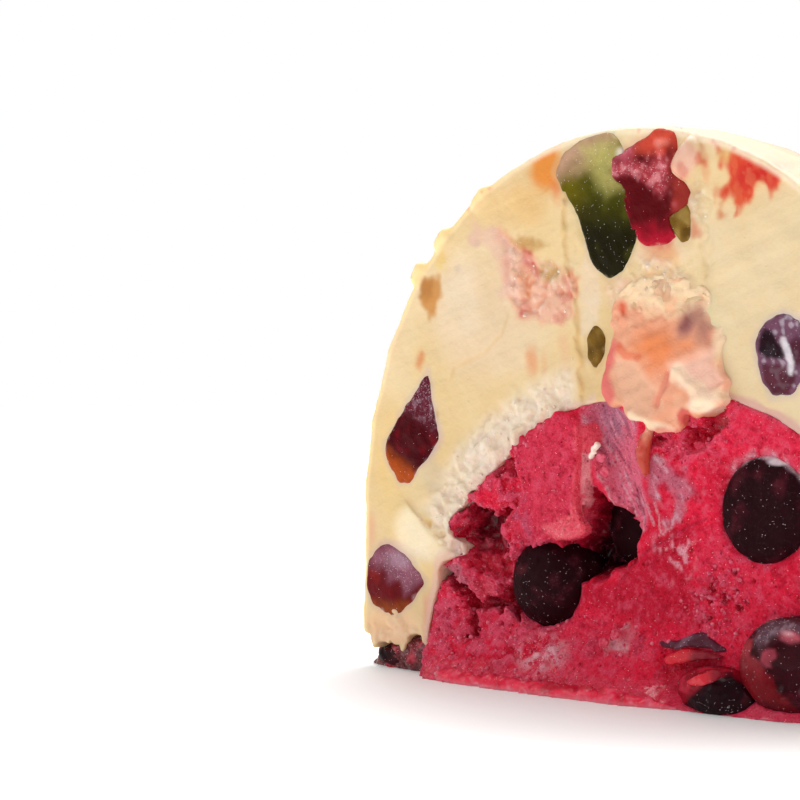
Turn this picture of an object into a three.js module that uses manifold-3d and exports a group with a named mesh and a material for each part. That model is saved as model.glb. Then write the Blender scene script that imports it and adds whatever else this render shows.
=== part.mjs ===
// A slice of ice cream bombe: a slab cut out of a domed dessert. A shell of vanilla cream wraps a
// red sorbet core, with candied fruit in the cream and dark cherries in the sorbet.
// Millimetres, +Z up. The foot of the dome's axis is the origin and the cut face looks along -Y.

import * as THREE from 'three';
import { mergeVertices } from 'three/addons/utils/BufferGeometryUtils.js';
import Module from 'manifold-3d';

const wasm = await Module();
wasm.setup();

// Driving dimensions of the dome and of the slab that is cut from it
const DOME_RADIUS = 68.5;
const DOME_HEIGHT = 108;
const STRAIGHT_SIDE = 30; // height below which the dome's side stands upright
const CROWN_POWER = 2.08; // 2 is a true ellipse, more is a flatter top
const SIDE_WAVE = 0.5; // slow unevenness of the moulded outside
const FRONT_Y = -9;
const BACK_Y = 36;
const GAP = 0.3; // clearance between pieces that touch
const POCKET_OPENING = 6; // how far the pocket of a fruit runs out past the cut face

// The sorbet core, a smaller and lopsided dome
const CORE_X = 10;
const CORE_HEIGHT = 58;
const CORE_LEFT = 61;
const CORE_RIGHT = 47;
const CORE_DEPTH = 62; // how far it reaches from the axis along Y
const CORE_LEFT_POWER = 2.2;
const CORE_RIGHT_POWER = 2.6;
const FOOT_REACH = 8; // how far the soft foot of the core runs out in front of the cut
const FOOT_HEIGHT = 15;

// The cream's legs stop short of the table at the cut face and reach it further back
const LEG_LIFT = 4.6;
const LEG_GROUND_Y = 9;
const LEG_GAP = 1.2; // the legs' feet stand a little further off the core

// Facets of the swept slabs. Shell and core share their rays and depths, so that their gap is even.
const RAYS = 52;
const WALL_STEPS = 5;
const CREAM_RINGS = { front: 8, back: 4 };
const CORE_RINGS = { front: 12, back: 4 };
const PIVOT_X = 4; // every ray of the sweeps starts on a line through this X at table height

const cream = new THREE.MeshStandardMaterial({ color: 0xf0dfb4, roughness: 0.6 });
const sorbet = new THREE.MeshStandardMaterial({ color: 0xb5213f, roughness: 0.55 });
const cherry = new THREE.MeshStandardMaterial({ color: 0x260a12, roughness: 0.3 });
const greenFruit = new THREE.MeshStandardMaterial({ color: 0x4a4a10, roughness: 0.3 });
const redFruit = new THREE.MeshStandardMaterial({ color: 0xa01828, roughness: 0.3 });
const peachFruit = new THREE.MeshStandardMaterial({ color: 0xe8b296, roughness: 0.45 });
const amberFruit = new THREE.MeshStandardMaterial({ color: 0xb8802a, roughness: 0.35 });
const plumFruit = new THREE.MeshStandardMaterial({ color: 0x4a1428, roughness: 0.35 });

const bombe = new THREE.Group();

// 1 inside an oval, falling smoothly to 0 at its rim; core is the share of the oval that stays level
function mound(x, z, cx, cz, rx, rz, core = 0.3) {
  const away = Math.hypot((x - cx) / rx, (z - cz) / rz);
  return 1 - THREE.MathUtils.smoothstep(away, core, 1);
}

// Uneven, repeatable waves between about -1 and 1, a given length apart
function waves(a, b, length, seed) {
  const u = (a / length) * 2 * Math.PI;
  const v = (b / length) * 2 * Math.PI;
  const slow = Math.sin(u * 0.83 + v * 0.31 + seed * 1.7) * Math.cos(v * 0.71 - u * 0.27 + seed);
  const quick = Math.sin(u * 1.37 - v * 0.93 + seed * 2.3) * Math.sin(v * 1.61 + u * 0.49 + seed);
  return 0.6 * slow + 0.4 * quick;
}

function insideDome(x, y, z) {
  const around = Math.atan2(y, x) * DOME_RADIUS;
  const radius = DOME_RADIUS + SIDE_WAVE * waves(around, z, 34, 1);
  const across = Math.hypot(x, y) / radius;
  if (z < STRAIGHT_SIDE) return across <= 1;
  const up = (z - STRAIGHT_SIDE) / (DOME_HEIGHT - STRAIGHT_SIDE);
  return across ** CROWN_POWER + up ** CROWN_POWER <= 1;
}

// The cream's tongue and the bay above it, both at the front of the core's left edge
function coreEdgeShift(x, y, z) {
  if (x > CORE_X) return 0;
  const front = 1 - THREE.MathUtils.smoothstep(y, FRONT_Y + 3, FRONT_Y + 12);
  const bay = 2.2 * mound(0, z, 0, 31.5, 1, 4.5);
  const tongue = 4.2 * mound(0, z, 0, 25.2, 1, 3);
  return front * (bay - tongue);
}

function insideCore(x, y, z) {
  const shrink = Math.sqrt(1 - (y / CORE_DEPTH) ** 2);
  const left = x < CORE_X;
  const power = left ? CORE_LEFT_POWER : CORE_RIGHT_POWER;
  const wave = 0.7 * waves(x + z, y, 19, 4);
  const half = (left ? CORE_LEFT : CORE_RIGHT) * shrink + wave + coreEdgeShift(x, y, z);
  const high = CORE_HEIGHT * shrink + wave;
  return (Math.abs(x - CORE_X) / half) ** power + (z / high) ** power <= 1;
}

// The distance from the pivot line to the edge of a form, along one ray of the XZ plane at one depth
function reach(inside, angle, y) {
  let near = 0;
  let far = 2 * DOME_HEIGHT;
  for (let step = 0; step < 40; step += 1) {
    const middle = (near + far) / 2;
    const x = PIVOT_X + middle * Math.cos(angle);
    const z = middle * Math.sin(angle);
    if (inside(x, y, z)) near = middle;
    else far = middle;
  }
  return near;
}

// How far the knife and the thaw have taken the cream's cut face in (+) or left it proud (-)
function creamInset(x, z) {
  const ridge = THREE.MathUtils.smoothstep(x, -14, -12);
  const ridgeEnds = mound(0, z, 0, 77, 1, 24, 0.7);
  const fissure = mound(x, z, 17.5, 85, 2, 11);
  const tornPatch = mound(x, z, -21, 77, 9, 8);
  const pits = mound(x, z, -33, 50, 14, 7);
  const step = mound(x, z, -52, 31, 9, 6);
  const leg = mound(x, z, -58, 6, 12, 8);
  const inset = 0.9 * ridge * ridgeEnds + 1.1 * fissure + 0.8 * tornPatch + 0.7 * pits;
  return inset + 0.6 * leg - 0.9 * step + 0.35 * waves(x, z, 17, 2);
}

// The same for the sorbet: three hollows, crags where it crumbled and a foot that runs forward
function coreInset(x, z) {
  const leftHollow = 6.5 * mound(x, z, -37, 29, 11, 12);
  const deepHollow = 11 * mound(x, z, -5, 33, 8.5, 13);
  const underBlock = 5 * mound(x, z, -19, 21, 12, 10);
  const rise = Math.max(0, 1 - z / FOOT_HEIGHT);
  const foot = FOOT_REACH * rise ** 1.7 * mound(x, 0, -2, 0, 56, 1, 0.7);
  const crags = 1.5 * waves(x, z, 11, 5) + 0.8 * waves(z, x, 7, 8);
  const crumbly = mound(x, z, -30, 10, 26, 16, 0.4) + mound(x, z, 24, 18, 12, 9, 0.3);
  return Math.max(leftHollow, deepHollow, underBlock) - foot + crags * Math.min(1, 0.2 + crumbly);
}

function backOutset(x, z) {
  return 0.45 * waves(x, z, 21, 9);
}

function triangleSolid(points, triangles) {
  let volume = 0;
  for (const [a, b, c] of triangles) {
    volume += points[a].dot(new THREE.Vector3().crossVectors(points[b], points[c]));
  }
  const turned = volume < 0 ? triangles.map(([a, b, c]) => [a, c, b]) : triangles;
  const geometry = new THREE.BufferGeometry().setFromPoints(points);
  geometry.setIndex(turned.flat());
  return solidOf(geometry);
}

// A closed triangle mesh as a solid that can be joined and cut
function solidOf(geometry) {
  const bare = geometry.clone();
  bare.deleteAttribute('normal');
  bare.deleteAttribute('uv');
  const merged = mergeVertices(bare, 1e-4);
  const index = merged.index.array;
  const kept = [];
  for (let i = 0; i < index.length; i += 3) {
    const [a, b, c] = [index[i], index[i + 1], index[i + 2]];
    if (a !== b && b !== c && c !== a) kept.push(a, b, c);
  }
  const mesh = new wasm.Mesh({
    numProp: 3,
    vertProperties: new Float32Array(merged.attributes.position.array),
    triVerts: new Uint32Array(kept),
  });
  return new wasm.Manifold(mesh);
}

function geometryOf(solid) {
  const mesh = solid.getMesh();
  const geometry = new THREE.BufferGeometry();
  geometry.setAttribute('position', new THREE.BufferAttribute(mesh.vertProperties, 3));
  geometry.setIndex(new THREE.BufferAttribute(mesh.triVerts, 1));
  geometry.computeVertexNormals();
  return geometry;
}

// A closed solid through a row of closed loops with as many points each, both ends covered. Each
// facet is split from its front to its back, so that walls that face each other are split alike.
function sweptSolid(loops) {
  const count = loops[0].length;
  const triangles = [];
  for (let j = 0; j + 1 < loops.length; j += 1) {
    for (let i = 0; i < count; i += 1) {
      const next = (i + 1) % count;
      const [a, b] = [j * count + i, j * count + next];
      const [c, d] = [b + count, a + count];
      if (loops[j][i].y <= loops[j][next].y) triangles.push([a, d, c], [a, c, b]);
      else triangles.push([a, d, b], [d, c, b]);
    }
  }
  const last = (loops.length - 1) * count;
  triangles.push(...lidOf(loops[0], 0, 1), ...lidOf(loops[loops.length - 1], last, -1));
  return triangleSolid(loops.flat(), triangles);
}

// Triangles that cover a loop, wound along it (1) or against it (-1)
function lidOf(loop, start, way) {
  const flat = loop.map((point) => new THREE.Vector2(point.x, point.y));
  const round = Math.sign(THREE.ShapeUtils.area(flat)) * way;
  return THREE.ShapeUtils.triangulateShape(flat, []).map(([a, b, c]) => {
    const along = Math.sign(THREE.ShapeUtils.area([flat[a], flat[b], flat[c]])) === round;
    return along ? [start + a, start + b, start + c] : [start + a, start + c, start + b];
  });
}

// One loop round the slab's section along a ray: front face, outer wall, back face and, where the
// slab is hollow inside, inner wall
function sectionLoop(angle, outer, inner, rings, frontInset) {
  const point = (distance, y) => {
    return new THREE.Vector3(PIVOT_X + distance * Math.cos(angle), y, distance * Math.sin(angle));
  };
  const wall = (form, from, to) => {
    const run = [];
    for (let k = 1; k < WALL_STEPS; k += 1) {
      const y = THREE.MathUtils.lerp(from, to, k / WALL_STEPS);
      run.push(point(form(y), y));
    }
    return run;
  };
  const face = (y, count, outset) => {
    const run = [];
    for (let i = 0; i <= count; i += 1) {
      const share = i / count;
      const at = point(THREE.MathUtils.lerp(inner ? inner(y) : 0, outer(y), share), y);
      at.y += outset(at.x, at.z, share);
      run.push(at);
    }
    return run;
  };
  return [
    ...face(FRONT_Y, rings.front, frontInset),
    ...wall(outer, FRONT_Y, BACK_Y),
    ...face(BACK_Y, rings.back, backOutset).reverse(),
    ...(inner ? wall(inner, BACK_Y, FRONT_Y) : []),
  ];
}

function rayAngle(j) {
  return Math.PI * (j / RAYS);
}

// The shell's first and last rays clear the table and become the undersides of its legs
function makeCreamShell() {
  const loops = [];
  for (let j = 1; j < RAYS; j += 1) {
    const angle = rayAngle(j);
    const isLeg = j === 1 || j === RAYS - 1;
    const outer = (y) => reach(insideDome, angle, y);
    const inner = (y) => reach(insideCore, angle, y) + (isLeg ? LEG_GAP : GAP);
    const loop = sectionLoop(angle, outer, inner, CREAM_RINGS, creamInset);
    if (isLeg) lowerLeg(loop);
    loops.push(loop);
  }
  return sweptSolid(loops);
}

function lowerLeg(loop) {
  for (const point of loop) {
    point.z = LEG_LIFT * (1 - THREE.MathUtils.smoothstep(point.y, 0, LEG_GROUND_Y));
  }
}

// Where the core meets the shell its face lies level with the shell's
function makeSorbetCore() {
  const inset = (x, z, share) => (share === 1 ? creamInset(x, z) : coreInset(x, z));
  const loops = [];
  for (let j = 0; j <= RAYS; j += 1) {
    const outer = (y) => reach(insideCore, rayAngle(j), y);
    loops.push(sectionLoop(rayAngle(j), outer, null, CORE_RINGS, inset));
  }
  return sweptSolid(loops);
}

// The whole dome without a core, reaching past the cut face, to trim the fruit at the rim
function makeDomeTrim() {
  const loops = [];
  for (let j = 0; j <= RAYS; j += 1) {
    const outer = (y) => reach(insideDome, rayAngle(j), y);
    loops.push(sectionLoop(rayAngle(j), outer, null, { front: 1, back: 1 }, () => -POCKET_OPENING));
  }
  return sweptSolid(loops);
}

// A cut lump of fruit. Each stage gives a share of its depth behind the cut side, and how wide the
// lump is there compared with its outline.
const LUMP_STAGES = [[0, 0.93], [0.07, 1], [0.45, 1.04], [0.8, 0.82], [0.97, 0.45]];
const LUMP_SIDES = 13;

// With a growth the solid is the pocket that the lump sits in, which also opens through the face
function fruitSolid(fruit, growth) {
  const corners = fruit.outline.map(([x, z]) => new THREE.Vector3(x, 0, z));
  const middle = corners.reduce((sum, corner) => sum.add(corner), new THREE.Vector3());
  middle.divideScalar(corners.length);
  const rim = new THREE.CatmullRomCurve3(corners, true, 'centripetal').getSpacedPoints(LUMP_SIDES);
  const opening = growth > 0 ? POCKET_OPENING : 0;
  const depthAt = (share) => {
    const depth = fruit.depth * share + growth;
    return fruit.face + fruit.inward * (share > 0 ? depth : -opening);
  };
  const points = [new THREE.Vector3(middle.x, depthAt(0), middle.z)];
  for (const [share, width] of LUMP_STAGES) {
    const wide = share === 0 && growth > 0 ? 1 : width;
    for (let i = 0; i < LUMP_SIDES; i += 1) {
      const arm = rim[i].clone().sub(middle);
      arm.setLength(arm.length() * wide + growth);
      points.push(arm.add(middle).setY(depthAt(share)));
    }
  }
  points.push(new THREE.Vector3(middle.x, depthAt(1), middle.z));
  const triangles = [];
  const last = points.length - 1;
  for (let i = 0; i < LUMP_SIDES; i += 1) {
    const next = (i + 1) % LUMP_SIDES;
    triangles.push([0, 1 + i, 1 + next]);
    for (let ring = 1; ring < LUMP_STAGES.length; ring += 1) {
      const near = 1 + (ring - 1) * LUMP_SIDES;
      const far = near + LUMP_SIDES;
      triangles.push([near + i, far + i, far + next]);
      triangles.push([near + i, far + next, near + next]);
    }
    const end = 1 + (LUMP_STAGES.length - 1) * LUMP_SIDES;
    triangles.push([end + i, last, end + next]);
  }
  return triangleSolid(points, triangles);
}

// Candied fruit: outline in X and Z, the Y of its cut side, how deep it sits, and which way is in
const candied = [
  {
    name: 'candied_green',
    material: greenFruit,
    outline: [[-14, 104.5], [-6.5, 110], [0.2, 105], [0.2, 91], [-5.4, 80.3], [-10.5, 86.5], [-16.3, 97]],
    face: FRONT_Y - 0.6,
    depth: 13,
    inward: 1,
    trimmed: true,
  },
  {
    name: 'candied_red',
    material: redFruit,
    outline: [[2.9, 110], [12, 110], [14.2, 99], [12.4, 93], [8.2, 86], [3.6, 91], [2.9, 99]],
    face: FRONT_Y - 0.9,
    depth: 12,
    inward: 1,
    trimmed: true,
  },
  {
    name: 'candied_olive',
    material: greenFruit,
    outline: [[13.2, 91.4], [15, 89.6], [13.4, 87.7], [11.6, 88.6]],
    face: FRONT_Y - 0.5,
    depth: 5,
    inward: 1,
  },
  {
    name: 'candied_peach',
    material: peachFruit,
    outline: [
      [-5.9, 77], [6, 79], [18.2, 75.1], [18.3, 66], [21, 56.7],
      [9.9, 49.4], [-1.8, 54.3], [-6, 61.8], [-4.8, 69],
    ],
    face: FRONT_Y - 2.6,
    depth: 16,
    inward: 1,
  },
  {
    name: 'candied_amber_1',
    material: amberFruit,
    outline: [[-8.6, 70], [-7.6, 66.8], [-9.2, 63.3], [-11, 66.5]],
    face: FRONT_Y - 0.3,
    depth: 6,
    inward: 1,
  },
  {
    name: 'candied_amber_2',
    material: amberFruit,
    outline: [[44.5, 80.5], [48.6, 76], [45.5, 71.8], [40.8, 75.5]],
    face: FRONT_Y - 0.3,
    depth: 9,
    inward: 1,
  },
  {
    name: 'candied_plum_1',
    material: plumFruit,
    outline: [[-52.6, 58.8], [-48.4, 47.6], [-52, 41], [-57.5, 38.6], [-61.5, 45.6]],
    face: FRONT_Y - 0.4,
    depth: 12,
    inward: 1,
  },
  {
    name: 'candied_plum_2',
    material: plumFruit,
    outline: [[-60.8, 24.9], [-54.5, 22.6], [-52, 16.8], [-58.9, 11.6], [-65.2, 15.5], [-65, 21.2]],
    face: FRONT_Y - 0.5,
    depth: 11,
    inward: 1,
  },
  {
    name: 'candied_plum_3',
    material: plumFruit,
    outline: [[33.3, 71.2], [39.2, 65.4], [38.5, 60.4], [33.4, 58.4], [29.2, 65.6]],
    face: FRONT_Y - 0.5,
    depth: 11,
    inward: 1,
  },
  {
    name: 'candied_plum_4',
    material: plumFruit,
    outline: [[57.4, 45.5], [62.6, 39.6], [59, 31.4], [53.4, 36.6]],
    face: FRONT_Y - 0.4,
    depth: 11,
    inward: 1,
  },
  {
    name: 'candied_green_back',
    material: greenFruit,
    outline: [[-17, 78], [-10.5, 73], [-12, 62], [-19.5, 58.5], [-24, 68]],
    face: BACK_Y + 0.6,
    depth: 11,
    inward: -1,
  },
  {
    name: 'candied_red_back',
    material: redFruit,
    outline: [[15, 86.5], [22.4, 82], [20.5, 72.5], [11.8, 76]],
    face: BACK_Y + 0.7,
    depth: 11,
    inward: -1,
  },
  {
    name: 'candied_peach_back',
    material: peachFruit,
    outline: [[33, 63.5], [41.5, 59], [41, 49], [32.5, 46.6], [27, 54.5]],
    face: BACK_Y + 0.9,
    depth: 12,
    inward: -1,
  },
  {
    name: 'candied_plum_back_1',
    material: plumFruit,
    outline: [[-45.5, 44.5], [-39.4, 38.5], [-42.5, 29.6], [-50.4, 34.4]],
    face: BACK_Y + 0.5,
    depth: 10,
    inward: -1,
  },
  {
    name: 'candied_plum_back_2',
    material: plumFruit,
    outline: [[0.5, 67.5], [6.2, 62.2], [3.4, 55], [-3.6, 58.4]],
    face: BACK_Y + 0.5,
    depth: 10,
    inward: -1,
  },
];

// Cherries: centre, half-sizes, how far each is turned about Y, and how uneven it is
const cherries = [
  { name: 'cherry_1', centre: [-20.3, -2.6, 20.4], half: [8.7, 8.4, 8.8], tilt: 0.3 },
  { name: 'cherry_2', centre: [-5.2, 4.2, 31.4], half: [7.2, 6.6, 8.4], tilt: -0.2 },
  { name: 'cherry_3', centre: [30.2, -2.2, 37.2], half: [9.8, 8.6, 10.1], tilt: 0.5 },
  { name: 'cherry_4', centre: [20.8, -12.4, 6.1], half: [7.2, 6, 5.3], tilt: 0.1 },
  { name: 'cherry_5', centre: [38.6, -10.4, 10.8], half: [9.6, 7.4, 9.7], tilt: -0.4 },
  { name: 'cherry_6', centre: [-60.2, -3.4, 2.4], half: [4.6, 4.4, 2.3], tilt: 0 },
  { name: 'cherry_back_1', centre: [-14.6, 31.6, 22.4], half: [9, 8.2, 8.9], tilt: 0.4 },
  { name: 'cherry_back_2', centre: [21.8, 33.4, 11.6], half: [9.4, 8, 9.2], tilt: -0.3 },
];
const CHERRY_DETAIL = 2; // splits each edge of an icosahedron in three
const CHERRY_DIMPLE = 0.05;

function cherrySolid(fruit, growth) {
  const geometry = new THREE.IcosahedronGeometry(1, CHERRY_DETAIL);
  const places = geometry.attributes.position;
  const half = new THREE.Vector3(...fruit.half);
  const centre = new THREE.Vector3(...fruit.centre);
  const up = new THREE.Vector3(0, 1, 0);
  for (let i = 0; i < places.count; i += 1) {
    const spot = new THREE.Vector3().fromBufferAttribute(places, i);
    const dent = 1 + CHERRY_DIMPLE * waves(spot.x + spot.z, spot.y - spot.z, 1.9, centre.x);
    const radius = spot.clone().multiply(half).multiplyScalar(dent);
    radius.setLength(radius.length() + growth);
    radius.applyAxisAngle(up, fruit.tilt).add(centre);
    places.setXYZ(i, radius.x, radius.y, radius.z);
  }
  return solidOf(geometry);
}

// Sets a solid into the scene as a mesh that is placed at its own middle
function place(name, solid, material) {
  const geometry = geometryOf(solid);
  geometry.computeBoundingBox();
  const middle = geometry.boundingBox.getCenter(new THREE.Vector3());
  geometry.translate(-middle.x, -middle.y, -middle.z);
  const mesh = new THREE.Mesh(geometry, material);
  mesh.name = name;
  mesh.position.copy(middle);
  bombe.add(mesh);
}

const domeTrim = makeDomeTrim();
let creamShell = makeCreamShell();
let sorbetCore = makeSorbetCore();

for (const fruit of candied) {
  const whole = fruitSolid(fruit, 0);
  const pocket = fruitSolid(fruit, GAP);
  place(fruit.name, fruit.trimmed ? whole.intersect(domeTrim) : whole, fruit.material);
  creamShell = creamShell.subtract(pocket);
  sorbetCore = sorbetCore.subtract(pocket);
}

// A block of sorbet that the knife lifted, still fast at its back and standing proud of the face
const liftedBlock = {
  outline: [[-25, 47], [-11, 52], [-9.6, 41], [-9.8, 30.4], [-20, 28.6], [-30.2, 29.4], [-27.4, 38]],
  face: FRONT_Y - 2.2,
  depth: 13,
  inward: 1,
};
sorbetCore = sorbetCore.add(fruitSolid(liftedBlock, 0));

for (const fruit of cherries) {
  const pocket = cherrySolid(fruit, GAP);
  place(fruit.name, cherrySolid(fruit, 0), cherry);
  creamShell = creamShell.subtract(pocket);
  sorbetCore = sorbetCore.subtract(pocket);
}
place('cream_shell', creamShell, cream);
place('sorbet_core', sorbetCore, sorbet);

export default bombe;
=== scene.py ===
"""Ice cream bombe slice: a thick upright slab of a dome of pale cream ice round a red sorbet core.

Candied fruit lies in the cream and dark cherries in the sorbet, which melts at its foot. The shapes are
worked out in millimetres as fields, which are negative inside, on even blocks of space. Their skins become
meshes in metres. +Z is up, the cut face looks along -Y, and the origin is the foot of the dome's axis.
"""

import copy
import math

import bpy
import numpy as np
import openvdb
from mathutils import Matrix, Vector


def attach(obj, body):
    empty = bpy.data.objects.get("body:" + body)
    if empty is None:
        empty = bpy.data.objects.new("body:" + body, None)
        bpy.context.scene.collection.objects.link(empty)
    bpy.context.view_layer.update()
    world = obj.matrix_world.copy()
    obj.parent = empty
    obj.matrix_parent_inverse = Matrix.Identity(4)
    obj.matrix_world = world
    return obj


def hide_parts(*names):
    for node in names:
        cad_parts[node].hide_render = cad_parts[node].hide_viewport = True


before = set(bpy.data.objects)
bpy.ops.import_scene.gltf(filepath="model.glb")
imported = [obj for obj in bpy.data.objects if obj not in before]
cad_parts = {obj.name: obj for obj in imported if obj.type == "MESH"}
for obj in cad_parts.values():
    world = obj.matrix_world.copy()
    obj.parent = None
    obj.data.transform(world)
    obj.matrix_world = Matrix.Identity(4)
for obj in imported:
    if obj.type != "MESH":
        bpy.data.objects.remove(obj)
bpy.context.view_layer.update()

MM = 0.001
BODY = "root"

# Sizes in mm, the same as the solids'.
DOME_RADIUS = 68.5
DOME_HEIGHT = 108.0
STRAIGHT_SIDE = 30.0
CROWN_POWER = 2.08
SIDE_WAVE = 0.5
FRONT_Y = -9.0
BACK_Y = 36.0
CORE_X = 10.0
CORE_HEIGHT = 58.0
CORE_LEFT = 61.0
CORE_RIGHT = 47.0
CORE_DEPTH = 62.0
CORE_LEFT_POWER = 2.2
CORE_RIGHT_POWER = 2.6
FOOT_REACH = 8.0
FOOT_HEIGHT = 15.0
LEG_LIFT = 4.6
LEG_GROUND_Y = 9.0

# The boxes that the fields of the two ices are worked out in, and their steps.
CREAM_SPACE = ((-70.5, -11.9, -0.9), (70.5, 37.6, 109.6))
SORBET_SPACE = ((-54.5, -20.0, -0.9), (59.5, 37.6, 61.5))
STEP = 0.34
SORBET_STEP = 0.3
FRUIT_STEP = 0.27
MOST_TRIANGLES = 190000
SCRAP_FACES = 260


# ------------------------------------------------------------------ shapes as fields


def ease(value, start, end):
    t = np.clip((value - start) / (end - start), 0, 1)
    return t * t * (3 - 2 * t)


def fade(value, start, end):
    return 1 - ease(value, start, end)


def bell(value, width):
    """1 where a value is 0, and less and less on both sides."""
    return np.exp(-((value / width) ** 2))


def mound(x, z, cx, cz, rx, rz, core=0.3):
    """1 in the middle of an oval on the cut face, 0 outside it."""
    return 1 - ease(np.hypot((x - cx) / rx, (z - cz) / rz), core, 1)


def waves(a, b, length, phase):
    """Gentle uneven swells, between -1 and 1."""
    u, v = 2 * np.pi * a / length, 2 * np.pi * b / length
    first = 0.6 * np.sin(0.83 * u + 0.31 * v + 1.7 * phase) * np.cos(0.71 * v - 0.27 * u + phase)
    return first + 0.4 * np.sin(1.37 * u - 0.93 * v + 2.3 * phase) * np.sin(1.61 * v + 0.49 * u + phase)


def soft_max(a, b, width):
    """The larger of two fields, with the edge where they meet rounded off."""
    return np.maximum(a, b) + np.maximum(width - np.abs(a - b), 0) ** 2 / (4 * width)


def soft_min(a, b, width):
    return -soft_max(-a, -b, width)


def rounded(points, times=2):
    """A closed outline with its corners cut off again and again."""
    points = np.array(points, float)
    for _ in range(times):
        after = np.roll(points, -1, 0)
        points = np.stack([0.75 * points + 0.25 * after, 0.25 * points + 0.75 * after], 1).reshape(-1, 2)
    return points


def line(x, z, points, closed=False):
    """Distance on the cut face from a chain of straight pieces."""
    points = np.array(points, float)
    ends = np.roll(points, -1, 0) if closed else points[1:]
    nearest = np.float32(1e9)
    for (ax, az), (bx, bz) in zip(points, ends):
        ex, ez = bx - ax, bz - az
        t = np.clip(((x - ax) * ex + (z - az) * ez) / (ex * ex + ez * ez), 0, 1)
        nearest = np.minimum(nearest, (x - ax - t * ex) ** 2 + (z - az - t * ez) ** 2)
    return np.sqrt(nearest)


def outline(x, z, points):
    """Signed distance on the cut face from a closed outline, negative inside."""
    points = np.array(points, float)
    inside = np.zeros(np.broadcast(x, z).shape, bool)
    for (ax, az), (bx, bz) in zip(points, np.roll(points, -1, 0)):
        if az != bz:
            inside ^= ((az > z) != (bz > z)) & (x < (bx - ax) * (z - az) / (bz - az) + ax)
    return np.where(inside, -1, 1) * line(x, z, points, closed=True)


class Grain:
    """Smooth random values in space, mostly between -1 and 1, in lumps of a size in mm."""

    COUNT = 80

    def __init__(self, size, seed):
        self.size = size
        self.table = np.random.default_rng(seed).standard_normal((self.COUNT,) * 3).astype(np.float32) * 1.2

    def rows(self, place):
        """The three rows of the table that act at each place along an axis, and their shares."""
        t = place / self.size
        whole = np.floor(t).astype(int)
        part = t - whole
        shares = (0.5 * (1 - part) ** 2, 0.75 - (part - 0.5) ** 2, 0.5 * part**2)
        return [((whole + k - 1) % self.COUNT, share) for k, share in enumerate(shares)]

    def weights(self, axis):
        table = np.zeros((len(axis), self.COUNT), np.float32)
        for row, share in self.rows(axis):
            table[np.arange(len(axis)), row] += share
        return table

    def on(self, block):
        """Values on a whole block."""
        wx, wy, wz = (self.weights(axis) for axis in block.axes)
        return (wy @ np.tensordot(wx, self.table, (1, 0))) @ wz.T

    def face(self, block, y=0.0):
        """Values on the block's plane at one depth."""
        wx, wy, wz = self.weights(block.axes[0]), self.weights(np.array([y])), self.weights(block.axes[2])
        return (wx @ np.tensordot(self.table, wy[0], (1, 0))) @ wz.T

    def at(self, x, y, z):
        """Values at single points."""
        total = 0
        for i, a in self.rows(x):
            for j, b in self.rows(y):
                for k, c in self.rows(z):
                    total = total + self.table[i, j, k] * (a * b * c)
        return total


def opened(axes):
    """Three axes as arrays that spread over a block together."""
    return axes[0][:, None, None], axes[1][None, :, None], axes[2][None, None, :]


class Block:
    """A box of space in even steps, in mm, with open arrays of its places."""

    def __init__(self, low, high, step):
        self.low, self.step = np.array(low, float), step
        counts = [int(math.ceil((b - a) / step)) + 1 for a, b in zip(low, high)]
        self.take([(a + step * np.arange(n)).astype(np.float32) for a, n in zip(low, counts)])

    def take(self, axes):
        self.axes = axes
        self.x, self.y, self.z = opened(axes)
        self.face = (axes[0][:, None], axes[2][None, :])

    def until(self, y):
        """The part of the block in front of a depth, and how many steps deep it is."""
        deep = int(np.searchsorted(self.axes[1], y))
        part = copy.copy(self)
        part.take([self.axes[0], self.axes[1][:deep], self.axes[2]])
        return part, deep

    def around(self, low, high):
        """The slices of the block that hold a smaller box, and the open arrays there."""
        ends = [np.searchsorted(axis, pair) for axis, pair in zip(self.axes, zip(low, high))]
        cut = tuple(slice(int(a), int(b)) for a, b in ends)
        return cut, (self.x[cut[0]], self.y[:, cut[1]], self.z[:, :, cut[2]])

    def near(self, middle, reach):
        return self.around([m - reach for m in middle], [m + reach for m in middle])

    def spread(self, shape, stride=5):
        """A smooth field, worked out at every few steps and filled in evenly between them."""
        past = stride * self.step
        rough = [np.append(axis[::stride], axis[-1] + past).astype(np.float32) for axis in self.axes]
        values = shape(*opened(rough)).astype(np.float32)
        share = []
        for axis, few in zip(self.axes, rough):
            before = np.clip(np.searchsorted(few, axis, "right") - 1, 0, len(few) - 2)
            t = (axis - few[before]) / (few[before + 1] - few[before])
            table = np.zeros((len(axis), len(few)), np.float32)
            table[np.arange(len(axis)), before] = 1 - t
            table[np.arange(len(axis)), before + 1] += t
            share.append(table)
        return (share[1] @ np.tensordot(share[0], values, (1, 0))) @ share[2].T


def ball(x, y, z, middle, radius):
    return np.sqrt((x - middle[0]) ** 2 + (y - middle[1]) ** 2 + (z - middle[2]) ** 2) - radius


def stamp(block, field, balls, cut=True, soft=0.0):
    """Cuts balls (x, y, z, radius) out of a field, or adds them to it."""
    for *middle, radius in balls:
        part, place = block.near(middle, radius + 3 * block.step)
        if min(s.stop - s.start for s in part) < 1:
            continue
        here, grown = field[part], ball(*place, middle, radius)
        if cut:
            field[part] = soft_max(here, -grown, soft) if soft else np.maximum(here, -grown)
        else:
            field[part] = soft_min(here, grown, soft) if soft else np.minimum(here, grown)


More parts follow.
